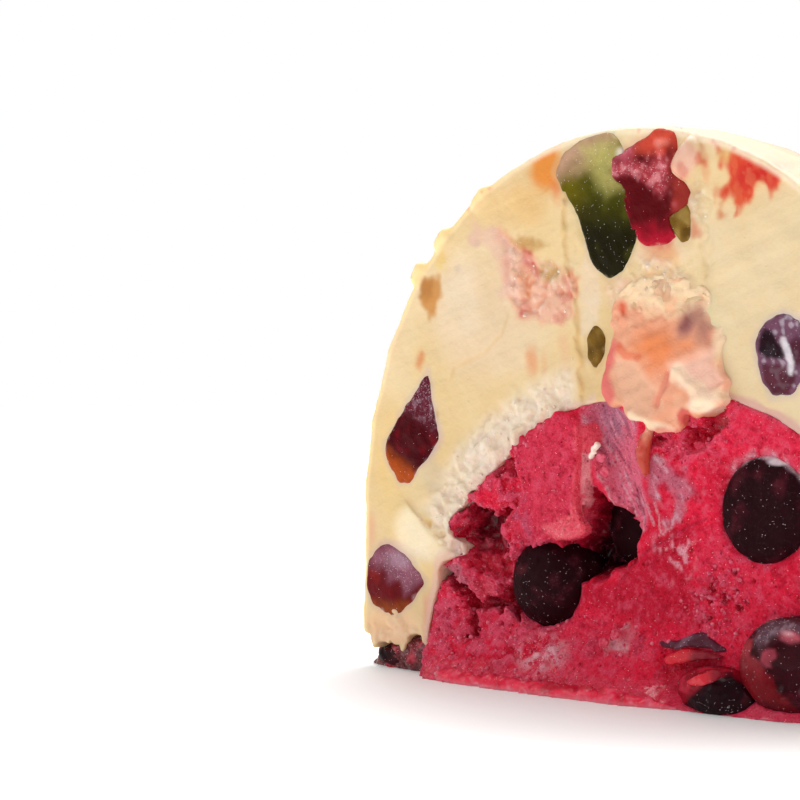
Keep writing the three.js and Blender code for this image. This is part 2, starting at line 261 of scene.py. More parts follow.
def skin(block, field):
    """A field's surface: points in mm and four-cornered faces that look outwards, without loose scraps."""
    grid = openvdb.FloatGrid(1.0)
    grid.copyFromArray(np.clip(field, -1, 1).astype(np.float32), tolerance=0.0)
    grid.gridClass = openvdb.GridClass.LEVEL_SET
    points, _, faces = grid.convertToPolygons(isovalue=0.0, adaptivity=0.0)
    faces = faces[:, ::-1].astype(np.int64)
    label = np.arange(len(points))
    while True:
        least = label[faces].min(1)
        fresh = label.copy()
        for corner in range(4):
            np.minimum.at(fresh, faces[:, corner], least)
        fresh = fresh[fresh]
        if np.array_equal(fresh, label):
            break
        label = fresh
    count = np.bincount(label[faces[:, 0]], minlength=len(points))
    faces = faces[count[label[faces[:, 0]]] >= min(SCRAP_FACES, count.max())]
    used = np.unique(faces)
    place = np.zeros(len(points), np.int64)
    place[used] = np.arange(len(used))
    points, faces = points[used], place[faces]
    return relaxed(points, faces) * block.step + block.low, faces


def relaxed(points, faces, share=0.6):
    """Each point moved towards the middle of its neighbours, which takes the grid's own ripples away."""
    total, count = np.zeros(points.shape), 4.0 * np.bincount(faces.ravel(), minlength=len(points))
    for corner in range(4):
        for beside in (faces[:, corner - 1], faces[:, (corner + 1) % 4]):
            for axis in range(3):
                total[:, axis] += np.bincount(faces[:, corner], points[beside, axis], len(points))
    return points * (1 - share) + share * total / (0.5 * count)[:, None]


# ------------------------------------------------------------------ meshes


def plain_mesh(name, points, faces):
    """A mesh of points in mm."""
    mesh = bpy.data.meshes.new(name)
    faces = np.asarray(faces, np.int32)
    mesh.vertices.add(len(points))
    mesh.vertices.foreach_set("co", (np.asarray(points) * MM).astype(np.float32).ravel())
    mesh.loops.add(faces.size)
    mesh.loops.foreach_set("vertex_index", faces.ravel())
    mesh.polygons.add(len(faces))
    mesh.polygons.foreach_set("loop_start", np.arange(0, faces.size, faces.shape[1], dtype=np.int32))
    mesh.update(calc_edges=True)
    mesh.validate()
    mesh.shade_smooth()
    return mesh


def places(mesh):
    """A mesh's points in mm, as three arrays."""
    flat = np.empty(len(mesh.vertices) * 3, np.float32)
    mesh.vertices.foreach_get("co", flat)
    return (flat.reshape(-1, 3) / MM).T.copy()


def thinned(obj, coarse, most):
    """Fewer faces where they don't show: `coarse` says, from 0 to 1, how far each point may give way."""
    mesh = obj.data
    triangles = sum(len(p.vertices) - 2 for p in mesh.polygons)
    if triangles <= most:
        return
    group = obj.vertex_groups.new(name="gives_way")
    for level in range(1, 5):
        chosen = np.nonzero(np.ceil(coarse * 4) == level)[0]
        if len(chosen):
            group.add(chosen.tolist(), level / 4, "REPLACE")
    thin = obj.modifiers.new("thin", "DECIMATE")
    thin.ratio = most / triangles
    thin.vertex_group = group.name
    thin.vertex_group_factor = 10.0
    result = bpy.data.meshes.new_from_object(obj.evaluated_get(bpy.context.evaluated_depsgraph_get()))
    obj.modifiers.remove(thin)
    obj.vertex_groups.clear()
    obj.data = result
    bpy.data.meshes.remove(mesh)
    result.shade_smooth()


def shown(name, mesh, finish, nodes=()):
    """An object with its finish, which rides on the slice and may stand for some of its solids."""
    obj = bpy.data.objects.new(name, mesh)
    bpy.context.scene.collection.objects.link(obj)
    if finish:
        mesh.materials.clear()
        mesh.materials.append(finish)
    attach(obj, BODY)
    if nodes:
        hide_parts(*nodes)
    return obj


def put(mesh, name, values):
    """Keeps one value, or one colour, for each point of a mesh."""
    values = np.asarray(values, np.float32)
    if values.ndim < 2:
        layer = mesh.attributes.new(name, "FLOAT", "POINT")
        layer.data.foreach_set("value", np.broadcast_to(values, len(mesh.vertices)).copy())
        return
    layer = mesh.attributes.new(name, "FLOAT_COLOR", "POINT")
    opaque = np.ones((len(values), 1), np.float32)
    layer.data.foreach_set("color", np.concatenate([values, opaque], 1).ravel())


# ------------------------------------------------------------------ colours


def colour(code):
    """A screen colour such as F3E5BC as the light it stands for."""
    parts = np.array([int(code[i : i + 2], 16) / 255 for i in (0, 2, 4)])
    return np.where(parts <= 0.04045, parts / 12.92, ((parts + 0.055) / 1.055) ** 2.4)


class Paint:
    """Colours laid over one another on the points of a piece."""

    def __init__(self, count, ground):
        self.values = np.tile(colour(ground), (count, 1))

    def lay(self, code, mask):
        mask = np.clip(mask, 0, 1)[:, None]
        self.values = self.values * (1 - mask) + colour(code) * mask


# ------------------------------------------------------------------ finishes


class Nodes:
    """Short ways to add nodes to a tree and to join them."""

    def __init__(self, tree):
        self.tree = tree

    def add(self, kind, settings=(), **sockets):
        node = self.tree.nodes.new(kind)
        for key, value in dict(settings).items():
            setattr(node, key, value)
        self.fill(node, sockets)
        return node

    def fill(self, node, sockets):
        for name, value in sockets.items():
            self.set(node.inputs[name.replace("_", " ")], value)

    def set(self, socket, value):
        if isinstance(value, bpy.types.NodeSocket):
            self.tree.links.new(value, socket)
        else:
            socket.default_value = value

    def math(self, operation, a, b=0.0):
        node = self.add("ShaderNodeMath", {"operation": operation})
        self.set(node.inputs[0], a)
        self.set(node.inputs[1], b)
        return node.outputs[0]


class Finish(Nodes):
    """A material made of nodes. What it is given goes to the inputs of its shader."""

    def __init__(self, name, **sockets):
        self.material = bpy.data.materials.new(name)
        self.material.use_nodes = True
        super().__init__(self.material.node_tree)
        self.shader = self.tree.nodes["Principled BSDF"]
        self.place = self.add("ShaderNodeTexCoord").outputs["Object"]
        self.use(**sockets)

    def use(self, **sockets):
        self.fill(self.shader, sockets)
        return self.material

    def layer(self, name, output="Fac"):
        """What a piece keeps for each of its points."""
        return self.add("ShaderNodeAttribute", {"attribute_name": name}).outputs[output]

    def noise(self, size, detail=2.0, rough=0.55, seed=0.0):
        """Cloudy values from 0 to 1 in lumps of a size in mm."""
        given = {"Vector": self.place, "W": seed, "Scale": 1 / (size * MM), "Detail": detail}
        node = self.add("ShaderNodeTexNoise", {"noise_dimensions": "4D"}, Roughness=rough, **given)
        return node.outputs["Fac"]

    def dots(self, size, seed=0.0):
        """Distance from the nearest of many scattered points that stand a size in mm apart."""
        given = {"Vector": self.place, "W": seed, "Scale": 1 / (size * MM)}
        return self.add("ShaderNodeTexVoronoi", {"voronoi_dimensions": "4D"}, **given).outputs["Distance"]

    def ramp(self, value, low, high, to_low=0.0, to_high=1.0):
        given = {"Value": value, "From_Min": low, "From_Max": high, "To_Min": to_low, "To_Max": to_high}
        return self.add("ShaderNodeMapRange", {"interpolation_type": "SMOOTHSTEP"}, **given).outputs["Result"]

    def times(self, a, b):
        return self.math("MULTIPLY", a, b)

    def mix(self, share, a, b, blend="MIX"):
        node = self.add("ShaderNodeMix", {"data_type": "RGBA", "blend_type": blend})
        for socket, value in ((0, share), (6, a), (7, b)):
            if isinstance(value, (tuple, list, np.ndarray)):
                value = (*value, 1.0)
            self.set(node.inputs[socket], value)
        return node.outputs[2]

    def bump(self, heights):
        """Fine relief from (height, depth in mm) pairs, one on another."""
        normal = None
        for height, depth in heights:
            node = self.add("ShaderNodeBump", Height=height)
            node.inputs["Distance"].default_value = depth * MM
            if normal:
                self.set(node.inputs["Normal"], normal)
            normal = node.outputs["Normal"]
        self.set(self.shader.inputs["Normal"], normal)

    def dull(self, share, tone, tint):
        """A tone turned towards itself times a tint."""
        return self.mix(share, tone, tint, "MULTIPLY")


def cream_finish():
    """Smooth frozen cream: soft inside light, faint mottling, fine pits, and painted shade in the low spots
    of its frosty grain.
    """
    depths = {"Subsurface_Radius": (1.0, 0.6, 0.28), "Subsurface_Scale": 0.0026}
    f = Finish("frozen_cream", Subsurface_Weight=0.4, Specular_IOR_Level=0.3, **depths)
    cloud, fine = f.noise(9.0, 3.0, 0.55, 3.0), f.noise(0.75, 3.0, 0.6, 7.0)
    grain, frost = f.noise(0.6, 3.0, 0.65, 4.0), f.layer("frost")
    tone = f.dull(f.ramp(cloud, 0.35, 0.7, 0.0, 0.2), f.layer("paint", "Color"), (0.92, 0.77, 0.5))
    tone = f.dull(f.ramp(fine, 0.35, 0.7, 0.12, 0.0), tone, (0.9, 0.78, 0.58))
    # painted shade: darker in the low spots of the frosty grain, which the bump below sinks
    tone = f.dull(f.times(f.ramp(grain, 0.36, 0.5, 0.4, 0.0), frost), tone, (0.86, 0.7, 0.58))
    swells, pits = f.noise(3.2, 3.0, 0.5, 1.0), f.ramp(f.dots(1.9, 2.0), 0.05, 0.16)
    f.bump([(swells, 0.2), (fine, 0.1), (pits, 0.04), (f.times(grain, frost), 0.3)])
    rough = f.math("SUBTRACT", f.ramp(fine, 0.3, 0.7, 0.48, 0.6), f.times(f.layer("wet"), 0.34))
    return f.use(Base_Color=tone, Roughness=rough)


def sorbet_finish():
    """Frozen red sorbet: fine light grains, wet where it melts, with painted shade in its pores and in the
    low parts of its grain.
    """
    depths = {"Subsurface_Radius": (1.0, 0.12, 0.16), "Subsurface_Scale": 0.0014}
    f = Finish("frozen_sorbet", Subsurface_Weight=0.25, **depths)
    f.use(Specular_IOR_Level=0.06, Coat_Roughness=0.14)
    wet, frost = f.layer("wet"), f.layer("frost")
    fine, grain = f.noise(0.42, 3.0, 0.7, 5.0), f.noise(1.5, 4.0, 0.62, 2.0)
    tone = f.mix(f.ramp(grain, 0.5, 0.68, 0.0, 0.42), f.layer("paint", "Color"), colour("F2607C"))
    # painted shade: darker in the low parts of the coarse and fine grain, which the bump below sinks
    tone = f.dull(f.ramp(grain, 0.33, 0.48, 0.6, 0.0), tone, (0.68, 0.28, 0.38))
    tone = f.mix(f.times(f.ramp(fine, 0.53, 0.7, 0.0, 0.6), frost), tone, colour("F09AAA"))
    tone = f.dull(f.ramp(fine, 0.34, 0.48, 0.6, 0.0), tone, (0.64, 0.2, 0.32))
    pores = f.dots(1.3, 4.0)
    # painted shade in the pores, which the bump below sinks
    tone = f.dull(f.ramp(pores, 0.08, 0.26, 0.55, 0.0), tone, (0.5, 0.1, 0.2))
    f.bump([(grain, 0.9), (fine, 0.6), (f.ramp(pores, 0.1, 0.26), 0.3)])
    rough = f.math("SUBTRACT", f.ramp(fine, 0.3, 0.7, 0.45, 0.62), f.times(wet, 0.34))
    return f.use(Base_Color=tone, Roughness=rough, Coat_Weight=f.times(wet, 0.6))


def fruit_finish(name, inside, scale, coat, rough, shine, mottle=0.45):
    """Candied fruit or frozen cherry: light goes into it, its skin shines, and frost dulls it."""
    f = Finish(name, Subsurface_Weight=0.35, Subsurface_Radius=inside, Subsurface_Scale=scale)
    f.use(Specular_IOR_Level=shine, Coat_Weight=coat, Coat_Roughness=0.1)
    frost = f.layer("frost")
    cloud, fine = f.noise(2.2, 4.0, 0.6, 6.0), f.noise(0.42, 3.0, 0.65, 9.0)
    tone = f.dull(f.ramp(cloud, 0.35, 0.66, mottle, 0.0), f.layer("paint", "Color"), (0.5, 0.42, 0.4))
    dust = f.times(f.ramp(fine, 0.53, 0.7), f.ramp(frost, 0.1, 1.0, 0.0, 0.6))
    tone = f.mix(dust, tone, colour("D9C2CB"))
    f.bump([(cloud, 0.28), (fine, 0.14)])
    shade = f.math("ADD", f.ramp(fine, 0.3, 0.7, rough, rough + 0.14), f.times(frost, 0.25))
    return f.use(Base_Color=tone, Roughness=shade)


def juice_finish():
    """Melted sorbet and soft fruit: a wet, clear red that its paint may turn."""
    depths = {"Subsurface_Radius": (1.0, 0.15, 0.12), "Subsurface_Scale": 0.003}
    f = Finish("melted_juice", Subsurface_Weight=0.5, **depths)
    f.use(Specular_IOR_Level=0.15, Coat_Weight=0.3, Coat_Roughness=0.08)
    frost, fine = f.layer("frost"), f.noise(0.5, 3.0, 0.65, 3.0)
    tone = f.mix(f.ramp(fine, 0.55, 0.75, 0.0, 0.2), f.layer("paint", "Color"), colour("F86C7C"))
    tone = f.mix(f.times(frost, f.ramp(fine, 0.35, 0.6)), tone, colour("FBE3E4"))
    f.bump([(f.noise(2.0, 3.0, 0.5, 8.0), 0.25), (fine, 0.1)])
    return f.use(Base_Color=tone, Roughness=f.math("ADD", 0.2, f.times(frost, 0.4)))


def crystal_finish():
    """Ice crystals, which catch the light; they also stand for small glints, and glow a little, which is
    painted light.
    """
    f = Finish("ice_crystals", Roughness=0.1, Coat_Weight=0.4)
    # painted light: a faint glow of their own
    f.use(Emission_Color=(1.0, 0.93, 0.95, 1.0), Emission_Strength=0.3)
    return f.use(Base_Color=f.mix(f.noise(3.0), (1.0, 0.84, 0.88), (0.97, 0.97, 1.0)))


def crumb_finish(name, dark, light):
    """Loose crumbs of one of the ices."""
    f = Finish(name, Subsurface_Weight=0.35, Subsurface_Radius=(1.0, 0.35, 0.3), Subsurface_Scale=0.001)
    f.use(Roughness=0.5, Specular_IOR_Level=0.3)
    f.bump([(f.noise(0.35, 3.0), 0.12)])
    return f.use(Base_Color=f.mix(f.ramp(f.noise(1.3, 3.0), 0.38, 0.64), colour(dark), colour(light)))


# ------------------------------------------------------------------ the dome and the core


def dome(x, y, z):
    """The outside of the bombe."""
    radius = DOME_RADIUS + SIDE_WAVE * waves(np.arctan2(y, x) * DOME_RADIUS, z, 34, 1)
    above = np.maximum(z - STRAIGHT_SIDE, 0)
    high = above / (DOME_HEIGHT - STRAIGHT_SIDE)
    level = ((np.hypot(x, y) / radius) ** CROWN_POWER + high**CROWN_POWER) ** (1 / CROWN_POWER)
    return np.sqrt(x * x + y * y + above * above) * (1 - 1 / np.maximum(level, 0.05))


def core_level(x, z, left, right, high):
    power = np.where(x < CORE_X, CORE_LEFT_POWER, CORE_RIGHT_POWER)
    half = np.where(x < CORE_X, left, right)
    level = (np.abs((x - CORE_X) / half) ** power + np.abs(z / high) ** power) ** (1 / power)
    return np.maximum(level, 0.05)


def core(x, y, z):
    """The boundary between cream and sorbet."""
    shrink = np.sqrt(1 - (y / CORE_DEPTH) ** 2)
    wave = 0.7 * waves(x + z, y, 19, 4)
    reach = 2.2 * mound(0, z, 0, 31.5, 1, 4.5) - 4.2 * mound(0, z, 0, 25.2, 1, 3)
    shift = np.where(x < CORE_X, fade(y, -6, 3) * reach, 0)
    left, right, high = (size * shrink + wave for size in (CORE_LEFT, CORE_RIGHT, CORE_HEIGHT))
    return np.hypot(x - CORE_X, z) * (1 - 1 / core_level(x, z, left + shift, right + shift, high))


def rim_of_core(x, z):
    """Distance on the cut face from the edge of the core, negative in the sorbet."""
    return np.hypot(x - CORE_X, z) * (1 - 1 / core_level(x, z, CORE_LEFT, CORE_RIGHT, CORE_HEIGHT))


def back_face(x, z):
    """The gentle waves of the cut at the back."""
    return BACK_Y + 0.45 * waves(x, z, 21, 9)


def inside(x, z, points, wander, start, end):
    """How far inside an outline with a ragged edge, from 0 to 1."""
    return ease(-outline(x, z, points) - wander, start, end)


# ------------------------------------------------------------------ relief of the cream's cut face

RIDGE = [
    (-11.9, 50), (-11.9, 57.5), (-12.8, 61.1), (-11.9, 62.8), (-12.5, 65.0), (-13.1, 67.0), (-12.7, 69.0),
    (-13.3, 73.3), (-14.1, 78.0), (-15.8, 82.9), (-16.5, 88.6), (-16.1, 94.4), (-15.0, 101)
]
SMEAR = [
    (-44.4, 59.6), (-43.4, 61.7), (-40.4, 63.0), (-35.4, 64.8), (-31.0, 68.5), (-29.6, 72.4), (-33, 80),
    (-40, 84), (-48, 79), (-53, 70), (-52, 62)
]
WRINKLE = [
    (15.9, 95.0), (18.5, 93.5), (17.7, 91.5), (15.4, 90.3), (17.4, 88.9), (17.7, 87.0), (16.3, 85.4),
    (17.4, 83.7), (16.6, 82.3), (17.4, 81.2), (17.1, 79.5)
]
CRACK = [(-34.4, 52.7), (-36.1, 51.2), (-36.4, 49.2), (-37.7, 47.6), (-38.1, 46.1)]
TONGUE = [(-59.0, 37.5), (-55.5, 33.6), (-51.5, 30.0), (-48.5, 27.6), (-45.6, 26.0), (-42.0, 23.8)]
TORN_PATCH = [
    (-31.8, 88.6), (-28.7, 86.9), (-25.9, 84.9), (-21.7, 83.3), (-18.7, 82.5), (-15.3, 80.6), (-13.1, 78.0),
    (-13.3, 74.2), (-13.8, 71.7), (-16.7, 70.2), (-20.4, 70.9), (-24.7, 71.7), (-27.9, 72.9), (-29.7, 76.2),
    (-30.5, 80.1), (-31.0, 84.0)
]
NUB = [
    (14.6, 105.3), (16.5, 102.5), (16.2, 100.6), (14.2, 97.7), (13.0, 97.2), (10.1, 99.2), (11.3, 102.0),
    (13.3, 104.0)
]
LEG_EDGE = [
    (-70, 9.0), (-67.7, 6.2), (-66.3, 6.4), (-66.0, 4.7), (-65.2, 4.1), (-64.0, 5.2), (-59.9, 5.1),
    (-57.9, 3.8), (-57.0, 4.8), (-55.4, 7.1), (-52.5, 7.4), (-51.4, 5.1), (-48, 5.0)
]
BURRS = [
    (-36.2, -8.7, 96.0, 1.2), (-37.8, -8.9, 94.4, 0.8), (-46.1, -8.8, 87.9, 1.5), (-47.6, -8.8, 86.4, 0.9),
    (-52.6, -8.9, 81.6, 1.3), (-53.9, -8.8, 79.8, 1.0)
]


def ridge_x(z):
    return np.interp(z, [p[1] for p in RIDGE], [p[0] for p in RIDGE])


def above_tongue(x, z):
    """Height on the cut face above the smooth tongue's upper edge."""
    return (z - np.interp(x, [p[0] for p in TONGUE], [p[1] for p in TONGUE])) * 0.75


def grainy(x, z):
    """Where the cream's cut face is granular: along the core's upper left edge."""
    band = fade(rim_of_core(x, z), 3.5, 10.5)
    return band * fade(x, -16, -11) * ease(above_tongue(x, z), -0.4, 0.6) * (x > -60)


def crumbled(x, z):
    """Where fruit and cream are torn into soft crumbs: over the peach lump, under green, beside red."""
    over = np.maximum(mound(x, z, 6, 79.5, 12.5, 5.5, 0.35), 0.8 * mound(x, z, -3, 76, 4.5, 6, 0.3))
    return np.maximum(over, 0.75 * mound(x, z, 15.6, 93.5, 2.8, 6.5, 0.4))


def lumpy(grain):
    """Rounded lumps of either sign, about 0 on the whole."""
    return np.sqrt(grain * grain + 0.03) - 0.52


def cream_inset(x, z, fine=0.0, ragged=0.0, broad=0.0):
    """How far the cream's cut face lies behind the plane of the cut, with grains of three sizes."""
    inset = 0.5 * mound(x, z, 17.5, 85, 2.4, 11) + 0.4 * mound(x, z, -21, 77, 9, 8)
    inset = inset + 0.5 * mound(x, z, -33, 50, 14, 7) + 0.3 * waves(x, z, 17, 2) + 0.08 * waves(x, z, 5.5, 5)
    # the ragged step: what lies right of it is set back
    side = x - ridge_x(z) - 0.6 * ragged - 0.4 * fine
    tall = mound(0, z, 0, 76, 1, 25, 0.72)
    step = 0.55 * ease(side, -0.15, 0.3) * (1 - 0.7 * ease(side, 1.0, 7.0))
    inset = inset + (step - 0.12 * bell(side + 0.5, 0.45)) * tall
    # the smear's lip
    smear = outline(x, z, SMEAR) + 0.12 * ragged
    inset = inset - 0.3 * ease(-smear, -0.1, 0.4) * mound(x, z, -36, 65, 15, 11, 0.5)
    # narrow cracks
    for path, deep in ((WRINKLE, 0.3), (CRACK, 0.35)):
        away = line(x, z, path) + 0.5 * np.abs(ragged)
        inset = inset + deep * bell(away, 0.4) - 0.4 * deep * bell(away - 1.3, 0.9)
    # the smooth tongue stands proud of the granular cream above it
    rise = above_tongue(x, z) + 0.3 * ragged
    near = mound(x, z, -50, 28, 13, 11, 0.45)
    inset = inset + near * (0.8 * ease(rise, -0.15, 0.3) * fade(rise, 1.0, 6.0) - 0.8)
    # torn and crumbled patches, faint oblique drag marks
    torn = ease(-outline(x, z, TORN_PATCH), -0.5, 1.2)
    crumbs = 0.8 * lumpy(broad) + 0.6 * lumpy(ragged) + 0.35 * lumpy(fine)
    small = 0.2 * lumpy(broad) + 0.55 * lumpy(ragged) + 0.5 * lumpy(fine)
    inset = inset - 1.2 * torn * crumbs - 1.1 * crumbled(x, z) * small
    along, across = (x * 0.72 - z * 0.69) / 15.0, (x * 0.69 + z * 0.72) / 4.2
    drag = Grain(1.0, 17).at(along, 0 * along, across) * mound(x, z, 33, 80, 22, 24, 0.3)
    inset = inset + 0.3 * drag + 0.03 * ragged
    inset = inset + 0.25 * waves(x, z, 11, 7) * mound(x, z, 33, 78, 24, 26, 0.3)
    low = mound(x, z, -60, 7.5, 10, 5.5, 0.5)
    beside = tall * bell(side - 2.6, 2.2)
    return inset - (1.7 * grainy(x, z) + 1.0 * low + 0.4 * beside) * crumbs


# ------------------------------------------------------------------ relief of the sorbet's cut face

HOLLOW_LEFT = [
    (-42.8, 36.4), (-39.8, 36.7), (-38.2, 34.8), (-33.2, 33.8), (-31.0, 35.4), (-28.7, 35.0), (-29.3, 32.9),
    (-31.6, 31.3), (-30.9, 29.1), (-29.3, 26.9), (-29.3, 22.4), (-29.6, 18.6), (-32.9, 17.7), (-33.0, 20.0),
    (-36.2, 21.0), (-39.5, 20.3), (-42.1, 23.1), (-44.2, 24.0), (-42.5, 25.0), (-44.2, 27.1), (-43.8, 29.7),
    (-42.5, 32.3), (-42.5, 34.6)
]
CAVITY = [
    (-11.1, 41.5), (-8.9, 39.3), (-6.5, 37.5), (-2.7, 36.3), (1.1, 34.0), (2.3, 30.9), (1.3, 27.1),
    (-1.7, 23.6), (-5.5, 21.9), (-8.8, 20.7), (-13.0, 20.4), (-16.5, 24.0), (-17.0, 28.5), (-14.0, 31.2),
    (-12.0, 34.6), (-11.6, 37.8)
]
POCKET = [(-35.0, 41.5), (-33.0, 44.0), (-30.0, 45.0), (-27.0, 43.0), (-28.0, 40.5), (-32.0, 39.8)]
TORN_ROOF = [
    (4.3, 50.7), (9.6, 49.2), (11.7, 49.9), (12.2, 52.1), (15.7, 51.9), (17.1, 54.3), (22.0, 56.6),
    (22.3, 52.6), (18.6, 48.7), (16.9, 46.6), (14.3, 46.0), (11.1, 45.2), (7.6, 46.2), (4.6, 47.6)
]
GAPS = [
    [(-50.5, 19.6), (-47.3, 20.6), (-44.0, 18.8), (-40.5, 17.0), (-38.6, 15.4)],
    [(-39.6, 15.2), (-38.7, 12.2), (-37.6, 9.4)],
    [(-38.4, 14.8), (-34.6, 15.2), (-31.2, 14.8), (-30.4, 17.3)],
    [(-30.4, 18.3), (-28.8, 15.6), (-26.8, 13.4)]
]
PITS = [
    (18.8, 22.0, 0.9), (18.3, 19.2, 0.7), (17.8, 16.4, 1.0), (24.8, 18.8, 0.9), (28.1, 23.8, 0.8),
    (23.6, 25.3, 0.7), (21.9, 24.5, 0.6), (19.7, 13.6, 0.8), (26.5, 19.9, 0.7), (24.2, 21.9, 0.6),
    (21.4, 19.4, 0.7)
]
KNIFE_LINE = [(-3.0, 20.4), (0.6, 25.2), (5.1, 28.6), (9.8, 30.8), (13.9, 33.1), (17.5, 34.6)]
THREADS = [
    [(-6.3, 47.5), (-2.0, 42.1), (1.6, 36.7), (3.4, 31.9)], [(-7.2, 41.6), (-4.9, 38.2), (-3.6, 35.8)],
    [(-5.6, 44.6), (-1.8, 39.0), (0.8, 34.6)], [(6.0, 37.0), (6.8, 33.8), (7.6, 31.4)],
    [(4.0, 36.6), (5.4, 33.2)], [(10.8, 35.4), (9.6, 32.6), (7.0, 31.0)]
]
BLOCK = [
    (-31.2, 30.7), (-29.9, 32.3), (-27.3, 34.4), (-27.6, 36.0), (-26.0, 38.4), (-27.7, 40.9), (-27.2, 43.2),
    (-30.5, 45.4), (-29.9, 46.4), (-26.7, 48.3), (-20.4, 51.4), (-15.0, 54.0), (-11.6, 52.9), (-11.0, 48.0),
    (-11.4, 41.0), (-11.6, 37.0), (-11.0, 34.0), (-8.6, 31.8), (-9.2, 30.0), (-14.0, 28.6), (-18.7, 29.4),
    (-21.2, 28.2), (-23.1, 26.8), (-26.3, 28.0), (-27.6, 27.4), (-29.3, 29.3)
]
SLOPE = [
    (-12.0, 53.2), (-9.6, 56.4), (-7.7, 57.1), (-4.7, 55.6), (-1.7, 54.4), (2.0, 53.0), (1.5, 47.2),
    (3.0, 41.0), (4.5, 34.7), (2.6, 30.9), (0.8, 33.7), (-3.2, 36.0), (-7.2, 41.6), (-8.4, 45.0),
    (-9.0, 48.4)
]
SMEARED = [
    (4.2, 44.4), (6.2, 45.7), (8.6, 44.5), (13.8, 42.8), (16.7, 38.7), (13.9, 37.9), (12.1, 35.2),
    (9.8, 32.7), (8.0, 33.5), (10.7, 35.1), (10.4, 38.0), (7.4, 40.0), (6.0, 37.5), (4.2, 38.6)
]
FEATHER = [(8.1, 28.8), (11.0, 29.7), (13.9, 29.3), (14.5, 27.7), (12.2, 24.0), (9.8, 27.9)]
CRUMB_MOUND = [(-6.1, 9.2), (-3.1, 11.6), (-0.1, 13.8), (2.9, 11.6), (4.4, 10.5), (2.9, 8.9), (-4.3, 8.1)]
SIDE_LEDGE = [
    (-47.5, 22.3), (-42.5, 22.9), (-41.5, 21.1), (-39.5, 19.2), (-40.8, 17.4), (-44.8, 19.6), (-46.8, 20.8)
]
THREAD_TURN = -1.02
KNOB = (-36.2, 18.2)
DISH = (30.4, 36.8)


def crumbliness(x, z):
    """Where the sorbet's cut face is coarse and crumbly, from 0 to 1."""
    left = fade(x + 0.35 * z, -14, -5)
    block = fade(outline(x, z, BLOCK), -3.6, -0.2)
    left = left * (1 - 0.8 * block * ease(x, -30, -21))
    band = mound(x, z, 20.0, 19.0, 11.0, 10.5, 0.3)
    roof = mound(x, z, 13, 49, 11, 6, 0.5)
    foot = mound(x, z, -5, 11, 20, 6, 0.3) * 0.8
    return np.clip(np.maximum(np.maximum(left, band), np.maximum(roof, foot)), 0, 1)


def foot_reach(x, z):
    """How far the melting foot of the core comes forward."""
    return FOOT_REACH * np.maximum(0, 1 - z / FOOT_HEIGHT) ** 1.7 * mound(x, 0, -2, 0, 56, 1, 0.7)


def threads(x, z, seed):
    """Uneven threads that run down to the right over the slope, mostly between -1 and 1."""
    c, s = math.cos(THREAD_TURN), math.sin(THREAD_TURN)
    bend = 0.6 * waves(x, z, 12, seed)
    along, across = (c * x + s * z) / 3.2, (c * z - s * x + bend) / 0.42
    return Grain(1.0, seed).at(along, 0 * along, across)


def sorbet_inset(x, z, fine=0.0, ragged=0.0, broad=0.0):
    """How far the sorbet's cut face lies behind the plane of the cut."""
    wander = 0.55 * ragged + 0.4 * fine
    deep = 3.4 + 4.2 * ease(z, 22, 31)
    inset = deep * inside(x, z, HOLLOW_LEFT, wander, -0.4, 2.6)
    inset = np.maximum(inset, 11.5 * inside(x, z, CAVITY, 1.2 * wander, -0.6, 4.0))
    inset = np.maximum(inset, 3.4 * mound(x, z, -21, 20, 11, 10, 0.5))
    inset = np.maximum(inset, 2.6 * inside(x, z, POCKET, wander, -0.3, 1.0))
    roof = 1.2 + 2.2 * ease(z + 0.4 * ragged, 47.0, 51.5)
    inset = np.maximum(inset, roof * inside(x, z, TORN_ROOF, wander, -0.3, 1.2))
    inset = inset - 1.5 * mound(x, z, *KNOB, 4.0, 3.0, 0.4)
    inset = inset - inside(x, z, SIDE_LEDGE, 0.6 * wander, -0.3, 1.2)
    for gap in GAPS:
        away = line(x, z, gap) + 0.6 * wander
        inset = np.maximum(inset, 4.4 * fade(away, 0.25, 1.7))
    for cx, cz, radius in PITS:
        away = np.hypot(x - cx, z - cz) / radius + 0.35 * ragged
        inset = inset + 1.3 * fade(away, 0.25, 1.1)
    # the smeared slope that runs down to the left and into the cavity
    slope = ease(-outline(x, z, SLOPE), -0.3, 1.6)
    inset = inset + slope * (0.5 + 0.2 * np.maximum(4.5 - x - 0.15 * (z - 35), 0) - 0.16 * threads(x, z, 3))
    for thread in THREADS:
        inset = inset - 0.25 * bell(line(x, z, thread) + 0.2 * ragged, 0.35)
    film = inside(x, z, SMEARED, 0.8 * ragged, -0.2, 1.0)
    inset = inset - 0.25 * film - 0.12 * film * threads(x, z, 4)
    above = z - np.interp(x, [p[0] for p in KNIFE_LINE], [p[1] for p in KNIFE_LINE])
    inset = inset + 0.35 * ease(above + 0.5 * ragged, -0.4, 0.6) * mound(x, z, 7, 31, 11, 9, 0.5)
    inset = inset - 1.4 * inside(x, z, CRUMB_MOUND, 0.5 * wander, -0.4, 1.2)
    inset = inset + 2.2 * mound(x, z, 15, 6, 10, 6, 0.4)
    # a dish round the cherry at the right
    inset = inset + 0.8 * fade(np.hypot((x - DISH[0]) / 10.9, (z - DISH[1]) / 11.2), 0.85, 1.0)
    lumps = 0.9 * lumpy(broad) + 0.6 * lumpy(ragged) + 0.35 * lumpy(fine)
    pitted = mound(x, z, 20.0, 19.0, 10.0, 9.5, 0.4)
    inset = inset + pitted * (1.8 * np.maximum(ragged - 0.45, 0) + 0.8 * np.maximum(broad - 0.4, 0))
    return inset - crumbliness(x, z) * lumps - 0.09 * ragged - 0.08 * fine - foot_reach(x, z)


# ------------------------------------------------------------------ fruit

